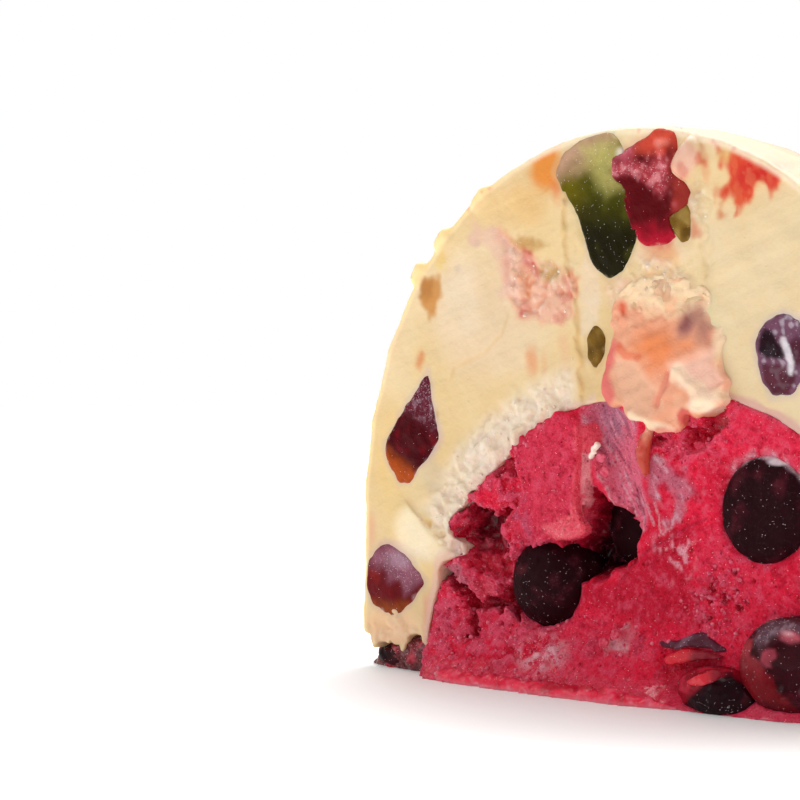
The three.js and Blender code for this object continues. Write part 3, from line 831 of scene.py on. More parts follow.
# name: (outline on the cut face, how far its face lies behind the cut, depth, trimmed by the dome)
FRUITS = {
    "candied_green": ([
        (-6.3, 107), (-11.7, 105.4), (-16.2, 103), (-17.6, 99.4), (-15.6, 95.6), (-12.8, 91.3),
        (-10.6, 86.3), (-8.6, 82.0), (-5.0, 79.2), (-1.0, 81.2), (0.5, 85.4), (1.9, 88.2), (0.2, 92.9),
        (-1.1, 96.5), (-3.2, 99.5), (-1.2, 103), (-4.0, 106.6)
    ], -0.2, 13, True),
    "candied_red": ([
        (7.2, 108), (3.4, 105.2), (-0.9, 103.2), (-4.2, 102.1), (-4.1, 98.5), (-2.2, 96.3), (-1.2, 92.5),
        (0.4, 88.2), (3.4, 85.4), (8.6, 85.8), (10.5, 87.4), (9.5, 90.3), (13.4, 92.6), (13.7, 94.8),
        (11.9, 97.9), (10.6, 100.4), (10.7, 104.6), (9.4, 107)
    ], -0.35, 12, True),
    "candied_olive": ([
        (13.1, 92.6), (14.2, 91.3), (13.8, 88.6), (13.4, 86.0), (11.6, 85.8), (9.4, 88.9), (9.2, 90.4),
        (10.6, 91.4)
    ], -0.1, 5, False),
    "candied_amber_1": (
        [(-8.2, 70.4), (-6.2, 68), (-6.4, 64.6), (-8.4, 62.2), (-10.4, 64.0), (-10.6, 67.8)],
        -0.35, 6, False
    ),
    "candied_amber_2": ([(44.5, 80.5), (48.6, 76), (45.5, 71.8), (40.8, 75.5)], -0.1, 9, False),
    "candied_plum_1": ([
        (-50.4, 60.8), (-54.4, 55.8), (-58.4, 51.2), (-61.8, 46.0), (-61.2, 42.0), (-58.0, 38.2),
        (-55.4, 38.4), (-53.2, 41.6), (-50.4, 43.6), (-47.6, 47.6), (-49.0, 52.9), (-49.8, 57.2)
    ], -0.1, 12, False),
    "candied_plum_2": ([
        (-66.6, 22.3), (-62.0, 25.7), (-56.1, 23.9), (-51.2, 18.9), (-54.2, 15.2), (-57.2, 12.2),
        (-59.2, 10.6), (-65.9, 13.2), (-67.0, 17)
    ], -0.1, 11, True),
    "candied_plum_3": ([
        (28.5, 67.5), (30.4, 70.8), (34.4, 72.7), (38.6, 70.6), (40.4, 65.4), (38.4, 60.8), (36.2, 58.2),
        (32.2, 57.9), (29.9, 60.6), (29.2, 64)
    ], -0.1, 11, False),
    "candied_plum_4": ([(57.4, 46), (63.2, 39.6), (59, 30.6), (52.6, 36.6)], -0.1, 11, False)
}
BACK_FRUITS = {
    "candied_green_back": ([(-17, 78), (-10.5, 73), (-12, 62), (-19.5, 58.5), (-24, 68)], 0.3, 11),
    "candied_red_back": ([(15, 86.5), (22.4, 82), (20.5, 72.5), (11.8, 76)], 0.3, 11),
    "candied_peach_back": ([(33, 63.5), (41.5, 59), (41, 49), (32.5, 46.6), (27, 54.5)], 0.4, 12),
    "candied_plum_back_1": ([(-45.5, 44.5), (-39.4, 38.5), (-42.5, 29.6), (-50.4, 34.4)], 0.3, 10),
    "candied_plum_back_2": ([(0.5, 67.5), (6.2, 62.2), (3.4, 55), (-3.6, 58.4)], 0.3, 10)
}
PEACH = [
    (-3.2, 76.6), (0.4, 79.2), (6.4, 80.0), (12.2, 79.6), (16.5, 78.2), (19.6, 76.0), (21.2, 73.4),
    (22.0, 71.1), (22.2, 68.0), (21.0, 65.6), (21.2, 62.2), (23.4, 60.2), (22.2, 58.0), (23.3, 56.6),
    (22.0, 55.4), (18.6, 54.2), (16.6, 53.0), (15.2, 54.2), (14.0, 54.0), (13.6, 51.6), (13.4, 49.4),
    (11.7, 48.9), (8.2, 50.6), (6.2, 50.5), (5.9, 52.4), (3.2, 52.6), (1.7, 52.3), (0.0, 53.8),
    (-0.4, 55.4), (-2.8, 55.0), (-4.6, 56.1), (-5.0, 60.0), (-5.0, 62.6), (-4.3, 65.4), (-3.3, 68.4),
    (-4.6, 71.0), (-4.4, 73.6)
]
# name: (centre, half sizes, tilt about Y, and where it was cut, how flat)
CHERRIES = {
    "cherry_1": ((-20.8, -3.2, 20.2), (9.2, 8.4, 9.2), 0.3),
    "cherry_2": ((-5.2, 4.2, 31.4), (7.2, 6.6, 8.4), -0.2),
    "cherry_3": ((30.4, -1.7, 36.9), (9.9, 8.3, 10.3), 0.5, 3.0),
    "cherry_4": ((24.0, -12.3, 3.4), (8.6, 5.9, 4.7), 0.1),
    "cherry_5": ((38.4, -10.4, 9.4), (10.3, 7.4, 9.2), -0.2),
    "cherry_6": ((-62.0, -3.8, 2.4), (4.6, 4.4, 2.3), 0.0),
    "cherry_back_1": ((-14.6, 31.6, 22.4), (9.0, 8.2, 8.9), 0.4),
    "cherry_back_2": ((21.8, 33.4, 11.6), (9.4, 8.0, 9.2), -0.3)
}
PEACH_LIP = [(12.7, 61.9), (14.2, 60.5), (16.2, 59.3), (18.2, 57.6), (20.2, 57.1), (22.4, 57.2)]
PEACH_SLIT = [(10.5, 61.3), (10.0, 59.4), (9.1, 58.0), (8.2, 55.6)]
PEACH_ROSY = [
    (11.1, 62.8), (15.2, 64.7), (19.4, 66.1), (21.4, 62.0), (23.4, 60.1), (20.9, 58.4), (18.0, 58.2),
    (15.2, 60.0)
]
PEACH_FLAT = [
    (-2.5, 64.3), (2.3, 64.6), (5.8, 60.8), (7.6, 58.9), (7.3, 55.6), (6.5, 53.2), (-0.1, 54.0),
    (-3.1, 60.2)
]


def lump(x, y, z, points, face, depth, soft=0.35, wider=0.0):
    """A piece of fruit: an outline on the cut face, made a little wider and taken into the depth."""
    flat = outline(x, z, rounded(points, 1)) - wider
    inward = (y - face) * np.sign(depth)
    taper = 2.7 * ease(inward, abs(depth) * 0.4, abs(depth) * 1.05)
    return soft_max(soft_max(flat + taper, -inward, soft), inward - abs(depth), 1.3)


def cherry(x, y, z, centre, sizes, tilt, flat=1.25):
    """A cherry is a little flatter than an egg, and flatter still where a cut went through it."""
    dx, dy, dz = x - centre[0], y - centre[1], z - centre[2]
    c, s = math.cos(tilt), math.sin(tilt)
    a, b, d = (c * dx - s * dz) / sizes[0], dy / sizes[1], (s * dx + c * dz) / sizes[2]
    level = ((a * a + d * d) ** flat + np.abs(b) ** (2 * flat)) ** (0.5 / flat)
    dimple = 0.05 * np.exp(-((a * a + b * b) / 0.08)) * (d > 0)
    return (level - 1 + dimple) * min(sizes)


def fruit_boxes():
    """Each piece of fruit's field as a function of place, and the box that holds it."""
    found = {}
    for name, (points, offset, depth, trimmed) in FRUITS.items():
        face = FRONT_Y + offset

        def shape(x, y, z, points=points, proud=-offset, depth=depth, trimmed=trimmed):
            # its face follows the cream's: a little behind it at the edge, swelling out of it further in
            swell = ease(-outline(x, z, points), -0.8, 0.5)
            face = FRONT_Y + cream_inset(x, z) + 0.2 - (0.34 + proud) * swell
            field = lump(x, y, z, points, face, depth, 0.35, 0.55)
            return soft_max(field, dome(x, y, z) + 0.1, 1.2) if trimmed else field

        found[name] = (shape, span(points, face - 1, face + depth + 1))
    for name, (points, offset, depth) in BACK_FRUITS.items():
        face = BACK_Y + offset

        def shape(x, y, z, points=points, proud=offset, depth=depth):
            return lump(x, y, z, points, back_face(x, z) + proud, -depth)

        found[name] = (shape, span(points, face - depth - 1, face + 1))
    for name, (centre, sizes, *turned) in CHERRIES.items():

        def shape(x, y, z, centre=centre, sizes=sizes, turned=turned):
            return cherry(x, y, z, centre, sizes, *turned)

        reach = max(sizes) + 1.5
        found[name] = (shape, ([c - reach for c in centre], [c + reach for c in centre]))
    found["candied_peach"] = (peach, span(PEACH, FRONT_Y - 6, FRONT_Y + 15))
    green, olive = found["candied_green"][0], found["candied_olive"][0]
    red, red_box = found["candied_red"]

    def beside(x, y, z):
        return np.maximum(np.maximum(red(x, y, z), 0.02 - green(x, y, z)), 0.02 - olive(x, y, z))

    found["candied_red"] = (beside, red_box)
    return found


def span(points, near, far):
    points = np.array(points)
    low, high = points.min(0) - 1.5, points.max(0) + 1.5
    return [low[0], near, low[1]], [high[0], far, high[1]]


def peach_face(x, z):
    """How far the torn peach lump stands out of the cut, in mm."""
    out = 0.05 + 2.5 * fade(z, 56, 77) - 1.0 * ease(x, 17.5, 21) * ease(z, 63, 67)
    out = out + 0.7 * mound(x, z, 8, 66, 12, 7, 0.2)
    out = out - 0.7 * inside(x, z, PEACH_ROSY, 0, -0.3, 1.2)
    out = out - 0.6 * inside(x, z, PEACH_FLAT, 0, -0.4, 1.6)
    out = out + 0.8 * bell(line(x, z, PEACH_LIP), 1.3) + 0.6 * mound(x, z, 19, 55.6, 4.5, 2.6, 0.3)
    out = out - 0.5 * bell(line(x, z, PEACH_SLIT), 0.5) + 0.35 * waves(x, z, 7.5, 6)
    return out + 0.5 * mound(x, z, 7, 53.5, 7, 4, 0.2)


def peach(x, y, z):
    """The torn peach lump: flush at its top, thick and ragged at its bottom."""
    flat = outline(x, z, rounded(PEACH, 1))
    face = FRONT_Y - peach_face(x, z)
    back = FRONT_Y + 13
    undercut = 7.5 * fade(z, 52, 62)
    field = soft_max(flat, face - y, 0.9)
    field = soft_max(field, y - back + undercut, 1.2)
    return soft_max(field, y - FRONT_Y - 2.0 - 2.2 * (z - 52.4), 1.0)


# ------------------------------------------------------------------ the cream

FRUIT_FIELDS = fruit_boxes()


def slab_between(block, front, back):
    """What lies between two relief faces."""
    slope = np.hypot(*np.gradient(front, block.step))
    field = ((front[:, None, :] - block.y) / np.sqrt(1 + slope * slope)[:, None, :]).astype(np.float32)
    return np.maximum(field, block.y - back[:, None, :].astype(np.float32), out=field)


def cut_pockets(block, field, names, gap):
    """Makes room for fruit, `gap` mm less than its own size, so that nothing shows between them."""
    for name in names:
        shape, (low, high) = FRUIT_FIELDS[name]
        part, (x, y, z) = block.around(low, high)
        if min(s.stop - s.start for s in part) > 1:
            field[part] = np.maximum(field[part], -(shape(x, y, z) + gap))


def scatter(seed, count, low, high, least, most, keep):
    """Seeded balls in a box whose middles pass `keep`, with more small ones than large."""
    rng = np.random.default_rng(seed)
    spots = rng.uniform(low, high, (count, 3))
    sizes = least + (most - least) * rng.random(count) ** 2.5
    chosen = rng.random(count) < keep(spots[:, 0], spots[:, 2])
    return np.column_stack([spots, sizes])[chosen]


def make_cream():
    block = Block(*CREAM_SPACE, STEP)
    x, z = block.face
    fine, ragged, broad = (Grain(size, 11).face(block) for size in (0.62, 1.25, 2.3))
    front = FRONT_Y + cream_inset(x, z, fine, ragged, broad)
    near_core = np.clip(1 - rim_of_core(x, z) / 6, 0, 1)
    back = back_face(x, z) + 0.12 * ragged + 0.35 * near_core * fine
    field = slab_between(block, front, back)
    outside = block.spread(dome)
    outside += 0.12 * Grain(1.1, 14).on(block)
    field = soft_max(field, outside, 0.7)
    del outside
    near, deep = block.until(-2.0)
    lumps = 1.1 * lumpy(Grain(1.5, 15).on(near)) + 0.5 * lumpy(Grain(0.7, 16).on(near))
    inner = block.spread(core)
    loose = grainy(x, z)[:, None, :] * fade(near.y, -6, -2)
    inner[:, :deep] -= 1.2 * lumps * loose
    np.maximum(field, -inner - 0.1, out=field)
    field[:, :deep] -= 0.4 * lumps * loose
    leg = np.interp(x, *np.array(LEG_EDGE).T) + 0.5 * fine
    ground = LEG_LIFT * fade(block.y, 0, LEG_GROUND_Y) + 0.0 * x[:, :, None]
    under = np.where((x < -48)[:, :, None], np.minimum(leg[:, None, :], ground * 2), ground)
    under = under + (0.7 * np.abs(ragged) * (np.abs(x) > 44))[:, None, :] * fade(block.y, -2, 7)
    np.maximum(field, under - block.z, out=field)
    cut, (nx, ny, nz) = block.around((8, -12, 95), (19, -6, 107.5))
    nub = soft_max(outline(nx, nz, rounded(NUB, 1)) - 0.5 + 0 * ny, np.abs(ny + 9.0) - 2.6, 3.0)
    field[cut] = soft_min(field[cut], nub, 0.35)
    cut_pockets(block, field, [n for n in FRUIT_FIELDS if n.startswith("candied")], 0.6)
    pits = scatter(21, 500, (-60, -9.3, 8), (16, -8.4, 62), 0.25, 0.6, lambda a, c: 0.7 * grainy(a, c))
    stamp(block, field, pits)
    stamp(block, field, BURRS, cut=False, soft=1.8)
    mesh = plain_mesh("cream", *skin(block, field))
    obj = shown("cream", mesh, None, ["cream_shell"])
    x, y, z = places(mesh)
    hidden = ease(y, -8.0, -4.0)
    thinned(obj, 0.25 + 0.75 * hidden * (1 - 0.5 * (y > 35)), MOST_TRIANGLES)
    return obj


def lifted_block(block, ragged, fine):
    """The slab of sorbet that stands out of the cut, and the slices that hold it."""
    cut, (x, y, z) = block.around((-34, -14, 25), (-6, 3, 56))
    free = ease(x, -16, -10)
    wander = (0.6 * ragged + 0.4 * fine)[cut[0], cut[2]][:, None, :] * (1 - free)
    face = -9.2 - 2.0 * ease(x, -32, -12) - 0.4 * mound(x, z, -15, 30.5, 8, 3, 0.2)
    face = face + (0.09 * ragged + 0.08 * fine)[cut[0], cut[2]][:, None, :]
    loose = 0.75 * fade(outline(x, z, BLOCK) + 0.3 * (x + 24), -4.5, -1.0)
    face = face - (0.75 - loose) * 0.9 * lumpy(ragged)[cut[0], cut[2]][:, None, :] * (x < -14)
    plate = outline(x[:, :, 0], z[:, 0, :], rounded(BLOCK, 1))[:, None, :] + wander
    slab = soft_max(plate, face - y, 0.5 + 0.5 * free)
    thick = 3.6 - 0.9 * ease(-z, -42, -34)
    return cut, soft_max(slab, y - face - thick - 6.5 * fade(x, -27, -17), 0.8)


def make_sorbet():
    block = Block(*SORBET_SPACE, SORBET_STEP)
    x, z = block.face
    fine, ragged, broad = (Grain(size, 31).face(block) for size in (0.55, 1.3, 2.9))
    front = FRONT_Y + sorbet_inset(x, z, fine, ragged, broad)
    field = slab_between(block, front, back_face(x, z) + 0.25 * ragged + 0.2 * fine)
    near, deep = block.until(2.0)
    lumps = 0.9 * lumpy(Grain(1.7, 33).on(near)) + 0.5 * lumpy(Grain(0.6, 34).on(near))
    coarse = (0.07 + 0.93 * crumbliness(x, z))[:, None, :]
    inner = block.spread(core)
    # the core's edge is crumbly at the left
    inner[:, :deep] -= 0.5 * lumps * coarse * (x < -14)[:, :, None]
    np.maximum(field, inner - 0.1, out=field)
    cut, slab = lifted_block(block, ragged, fine)
    field[cut] = np.minimum(field[cut], slab)
    field[:, :deep] -= 0.9 * lumps * coarse * (1 - 0.75 * ease(near.y, -2, 2))
    np.maximum(field, -block.z - 0.02, out=field)
    cut_pockets(block, field, list(CHERRIES), 0.2)
    cut_pockets(block, field, ["candied_peach"], 0.4)
    holes = scatter(41, 900, (-52, -9.9, 4), (54, -8.9, 56), 0.2, 0.6, lambda a, c: 0.7 * crumbliness(a, c))
    stamp(block, field, holes)
    low, high = (-32, -11.4, 27), (-10, -9.4, 54)
    stamp(block, field, scatter(42, 500, low, high, 0.24, 0.42, lambda a, c: outline(a, c, BLOCK) < -1.0))
    mesh = plain_mesh("sorbet", *skin(block, field))
    obj = shown("sorbet", mesh, None, ["sorbet_core"])
    x, y, z = places(mesh)
    hidden = ease(y, -1.0, 5.0)
    outer = ease(rim_of_core(x, z), -3.0, -1.0) * ease(y, -7.0, -4.0)
    coarse = 0.2 + 0.8 * np.maximum(hidden * (1 - 0.4 * (y > 35)), outer)
    thinned(obj, np.clip(coarse, 0, 1), MOST_TRIANGLES)
    return obj


# ------------------------------------------------------------------ camera, light and floor

CAMERA_PLACE = (307.9, -419.1, 72.6)
CAMERA_TURN = math.radians(41.74)
CAMERA_DIP = math.radians(1.83)
LENS = 121.95


def make_camera():
    data = bpy.data.cameras.new("camera")
    data.lens, data.sensor_width = LENS, 36.0
    data.clip_start, data.clip_end = 0.01, 20.0
    camera = bpy.data.objects.new("camera", data)
    camera.location = Vector(CAMERA_PLACE) * MM
    camera.rotation_euler = (math.pi / 2 - CAMERA_DIP, 0.0, CAMERA_TURN)
    bpy.context.scene.collection.objects.link(camera)
    bpy.context.scene.camera = camera


def softbox(name, place, target, size, power, tint=(1.0, 1.0, 1.0)):
    data = bpy.data.lights.new(name, "AREA")
    data.shape, data.size, data.size_y = "RECTANGLE", size[0], size[1]
    data.energy, data.color = power, tint
    light = bpy.data.objects.new(name, data)
    light.location = Vector(place)
    light.rotation_euler = (Vector(target) - Vector(place)).to_track_quat("-Z", "Y").to_euler()
    bpy.context.scene.collection.objects.link(light)


SURROUND_LIGHT = 0.3
OVERHEAD_POWER = 6.6
FRONT_LEFT_POWER = 2.1
FRONT_RIGHT_POWER = 1.6
FLOOR_RADIUS = 1.6


def disc(name, radius, sides=96):
    mesh = bpy.data.meshes.new(name)
    turns = np.arange(sides) * 2 * math.pi / sides
    mesh.from_pydata([(radius * math.cos(a), radius * math.sin(a), 0.0) for a in turns], [], [range(sides)])
    return mesh


def make_studio():
    """A white floor that fades into a white surround, a large light overhead, soft light in front."""
    scene = bpy.context.scene
    scene.view_settings.view_transform = "Standard"
    scene.view_settings.look = "None"
    world = bpy.data.worlds.new("studio")
    scene.world = world
    world.use_nodes = True
    sky = world.node_tree.nodes["Background"]
    sky.inputs["Color"].default_value = (1.0, 1.0, 1.0, 1.0)
    # the surround shows as plain white, and lights the slice less than that
    seen = world.node_tree.nodes.new("ShaderNodeLightPath").outputs["Is Camera Ray"]
    level = world.node_tree.nodes.new("ShaderNodeMapRange")
    level.inputs["To Min"].default_value = SURROUND_LIGHT
    world.node_tree.links.new(seen, level.inputs["Value"])
    world.node_tree.links.new(level.outputs["Result"], sky.inputs["Strength"])
    softbox("overhead", (-0.12, 0.26, 0.72), (0, 0.02, 0.05), (0.7, 0.6), OVERHEAD_POWER)
    softbox("front_left", (-0.6, -0.7, 0.5), (0, 0, 0.05), (0.5, 0.5), FRONT_LEFT_POWER)
    softbox("front_right", (0.8, -0.35, 0.55), (0, 0, 0.05), (0.4, 0.4), FRONT_RIGHT_POWER)
    floor = bpy.data.objects.new("floor", disc("floor", FLOOR_RADIUS))
    scene.collection.objects.link(floor)
    f = Finish("white_board", Roughness=0.55, Specular_IOR_Level=0.2, Emission_Color=(1.0, 1.0, 1.0, 1.0))
    away = f.add("ShaderNodeVectorMath", {"operation": "LENGTH"}, Vector=f.place).outputs["Value"]
    tone = f.mix(f.noise(40.0), (0.88, 0.88, 0.88), (0.9, 0.9, 0.9))
    glow = f.ramp(away, 0.04, 0.16, 0.1, 1.0)
    floor.data.materials.append(f.use(Base_Color=tone, Emission_Strength=glow))


# ------------------------------------------------------------------ the cream's colours


def area(x, z, points, wander=0.0, soft=0.7):
    """1 inside an outline on the cut face and 0 outside it; `wander` makes its edge ragged."""
    return ease(-outline(x, z, points) + wander, -soft, soft)


def streak(x, z, points, wide, wander=0.0):
    """1 along a line on the cut face and 0 beside it."""
    return fade(line(x, z, points) + wander, 0.3 * wide, wide)


CREAM_WARMTH = (0.84, 0.77, 0.695)
ORANGE_STAIN = [
    (25.0, 102.2), (27.2, 100.9), (31.9, 99.6), (34.4, 97.2), (33.0, 95.0), (30.5, 95.7), (27.8, 93.3),
    (25.8, 92.2), (24.4, 93.4), (24.7, 95.2), (22.2, 93.9), (20.5, 93.5), (20.2, 95.4), (22.4, 97.6),
    (21.6, 99.3), (24.4, 101.7)
]
# soft spots on the cream: colour, strength, centre, half sizes, how much of it is even
CREAM_SPOTS = [
    ("F4E6C4", 0.7, (38, 80), (34, 44), 0.3), ("F5E2C4", 0.8, (-36, 72), (20, 17), 0.4),
    ("FAE0A0", 0.7, (-60, 42), (8, 22), 0.2), ("FCE6AC", 0.8, (-52, 24), (13, 8), 0.4),
    ("F5C4A4", 0.7, (-66.5, 28), (2.6, 6), 0.2), ("F2B79A", 0.8, (-50.0, 11), (2.6, 8), 0.3),
    ("F8D6B0", 0.6, (-60, 7), (9, 4), 0.3), ("F0982C", 0.95, (-19.8, 100.3), (6.0, 6.0), 0.4),
    ("F08E50", 0.7, (-17.2, 98), (2.6, 6), 0.2), ("F2C078", 0.6, (-26, 94), (9, 6), 0.1),
    ("F4C79C", 0.6, (-20.6, 62.5), (1.6, 4.6), 0.1), ("F4C7A4", 0.5, (-15.6, 66), (2.4, 7), 0.1),
    ("A8949C", 0.6, (-42.8, 81.2), (1.5, 1.3), 0.0), ("C4B0A4", 0.5, (-37.6, 86.8), (2.1, 1.5), 0.0),
    ("E8BE7C", 0.7, (-49.4, 76.2), (3.2, 4.8), 0.1), ("F7DC84", 0.7, (-47.0, 83.2), (2.4, 3.6), 0.1),
    ("FFF6DC", 0.85, (-51, 28), (9, 8), 0.4), ("FBEFDA", 0.7, (-42, 75), (8, 14), 0.3),
    ("F4D8A0", 0.7, (-30, 93), (12, 7), 0.3), ("FAE4CE", 0.85, (6, 83.4), (8, 3.4), 0.4),
    ("F4CE8E", 0.6, (9.5, 83), (2.4, 3.2), 0.2), ("F0AE84", 0.8, (7.0, 84.6), (5.2, 4.0), 0.2),
    ("E8705A", 0.85, (6.9, 85.9), (3.6, 1.7), 0.2), ("D8BC94", 0.6, (15.2, 93.2), (2.2, 5.6), 0.2),
    ("F0C87C", 0.75, (22.0, 101.6), (3.2, 2.6), 0.3), ("EEA878", 0.5, (17.5, 99), (1.6, 4), 0.2),
    ("F8EAD6", 0.8, (-9.5, 76), (3.2, 16), 0.5), ("DDD0D4", 0.6, (35.5, 66.5), (6.6, 8.0), 0.6),
    ("E2D0D4", 0.75, (-51, 50), (5.0, 9), 0.4), ("E3D8C0", 0.6, (-49, 40), (5, 5), 0.3),
    ("E4C6C0", 0.7, (-58, 25), (9.5, 2.6), 0.3), ("E9D2C4", 0.6, (58, 39), (6.5, 9.5), 0.5),
    ("D9B678", 0.8, (-47.6, 52.4), (0.7, 1.7), 0.1), ("D9B070", 0.7, (-27.5, 55.4), (0.8, 0.9), 0.1),
    ("D4A65C", 0.7, (-28.8, 46.9), (1.2, 0.8), 0.2), ("F2DCB0", 0.5, (44, 60), (10, 6), 0.2),
    ("E89A64", 0.85, (-52.6, 63.3), (1.7, 3.0), 0.1), ("F0AC80", 0.8, (-23.7, 63.4), (2.4, 4.4), 0.1),
    ("F3D9C8", 0.8, (13.4, 101.2), (3.0, 3.6), 0.5), ("F4D2C0", 0.6, (-3, 77), (5, 5), 0.3)
]
# stained patches with ragged edges: colour, strength, outline
CREAM_PATCHES = [
    ("D89A48", 0.9,
        [(-52.6, 79.9), (-47.3, 79.6), (-46.9, 76.7), (-48.8, 72.4), (-50.3, 71.9), (-51.9, 76.4)]),
    ("B4742E", 0.55, [(-52.4, 79.6), (-49.4, 79.4), (-49.9, 76.8), (-51.7, 76.6)]),
    ("D6AC6C", 0.9,
        [(-29.9, 86.9), (-27.4, 87.5), (-23.8, 87.1), (-19.4, 85.8), (-23.5, 84.6), (-27.7, 85.4)]),
    ("D0AA68", 0.9,
        [(-22.6, 82.9), (-19.4, 82.8), (-15.0, 80.3), (-16.9, 79.1), (-20.7, 78.9), (-22.2, 80.4)]),
    ("E8905E", 0.85,
        [(-28.0, 82.7), (-25.7, 81.7), (-23.8, 79.2), (-24.1, 76.4), (-25.7, 75.0), (-27.7, 79.4)]),
    ("D83C30", 0.9,
        [(-25.8, 84.9), (-23.8, 84.4), (-23.5, 82.6), (-22.6, 79.9), (-25.7, 82.4), (-27.0, 84.2)]),
    ("E05440", 0.85,
        [(-14.1, 80.5), (-12.8, 79.1), (-13.1, 76.9), (-14.4, 75.4), (-15.0, 77.4), (-15.3, 79.6)]),
    ("F0C8BC", 0.75,
        [(-33.8, 89.0), (-31.2, 87.5), (-29.0, 85.4), (-26.7, 84.1), (-28.0, 81.4), (-30.6, 85.0)]),
    ("E2603A", 0.9, [(16.5, 103.2), (17.6, 102.0), (17.3, 100.6), (16.5, 100.4), (16.4, 101.8)]),
    ("E2603A", 0.9, [(19.0, 104.5), (20.7, 103.5), (21.0, 102.1), (19.9, 102.0), (19.3, 103.1)]),
    ("D9783C", 0.7, [(20.2, 92.8), (20.9, 92.8), (20.9, 90.2), (20.3, 90.2)]),
    ("E08060", 0.8, [(13.7, 91.3), (14.9, 90.1), (15.7, 88.7), (15.5, 87.5), (14.7, 86.6), (13.4, 86.9)])
]
# small red stains: colour, centre, half sizes
RED_SPOTS = [
    ("E27C68", (-17.4, 71.4), (1.9, 1.3)), ("E0604C", (-25.6, 73.6), (1.3, 2.2)),
    ("E46A58", (-15.6, 75.4), (1.1, 1.6)), ("E0483A", (-18.4, 104.8), (2.2, 0.8)),
    ("E2603E", (-23.6, 103.3), (1.2, 0.7)), ("E88060", (24.2, 91.1), (0.4, 1.1))
]
# what each piece of fruit gives the cream beside it
FRUIT_TINTS = {
    "candied_green": "DDCDA0", "candied_red": "F0B49C", "candied_olive": "E6C8A0",
    "candied_amber_1": "EAC88C", "candied_amber_2": "E4BC80", "candied_plum_1": "DCC4CC",
    "candied_plum_2": "DEC0C0", "candied_plum_3": "D6CCD8", "candied_plum_4": "DEC4CC"
}
CREAM_LIP = [
    (-42.6, 36.5), (-38.6, 37.5), (-36.6, 40.6), (-34.0, 44.5), (-29.8, 47.6), (-25.0, 50.3), (-21.2, 52.1),
    (-15.2, 55.0), (-12.4, 53.5), (-10.2, 54.1), (-9.3, 56.3)
]
PINK_STREAK = [(-37.6, 88.6), (-33.4, 87.6), (-30.4, 83.6), (-29.4, 78.0)]


def lay_shell_edge(paint, x, y, z):
    """The outside of the slice: paler, almost white, with a little pink frost away from the cut."""
    outside = ease(dome(x, y, z), -1.7, -0.4)
    away = ease(y, -7.5, -4.0)
    paint.lay("F6E6CC", outside * 0.85)
    paint.lay("F6D890", outside * (1 - away) * 0.7 * ease(-x, 24, 36))
    paint.lay("F2D8A0", outside * away * 0.4 * ease(-x, 20, 50))
    paint.lay("F0B8AC", outside * away * 0.25 * ease(Grain(1.3, 71).at(x, y, z), 0.2, 1.2))
    paint.lay("D86A64", outside * ease(z, 60, 80) * 0.3 * ease(Grain(0.8, 73).at(x, y, z), 0.8, 1.2))
    paint.lay("F6D8C0", outside * 0.4 * ease(Grain(7.0, 72).at(x, y, z), 0.1, 0.8))


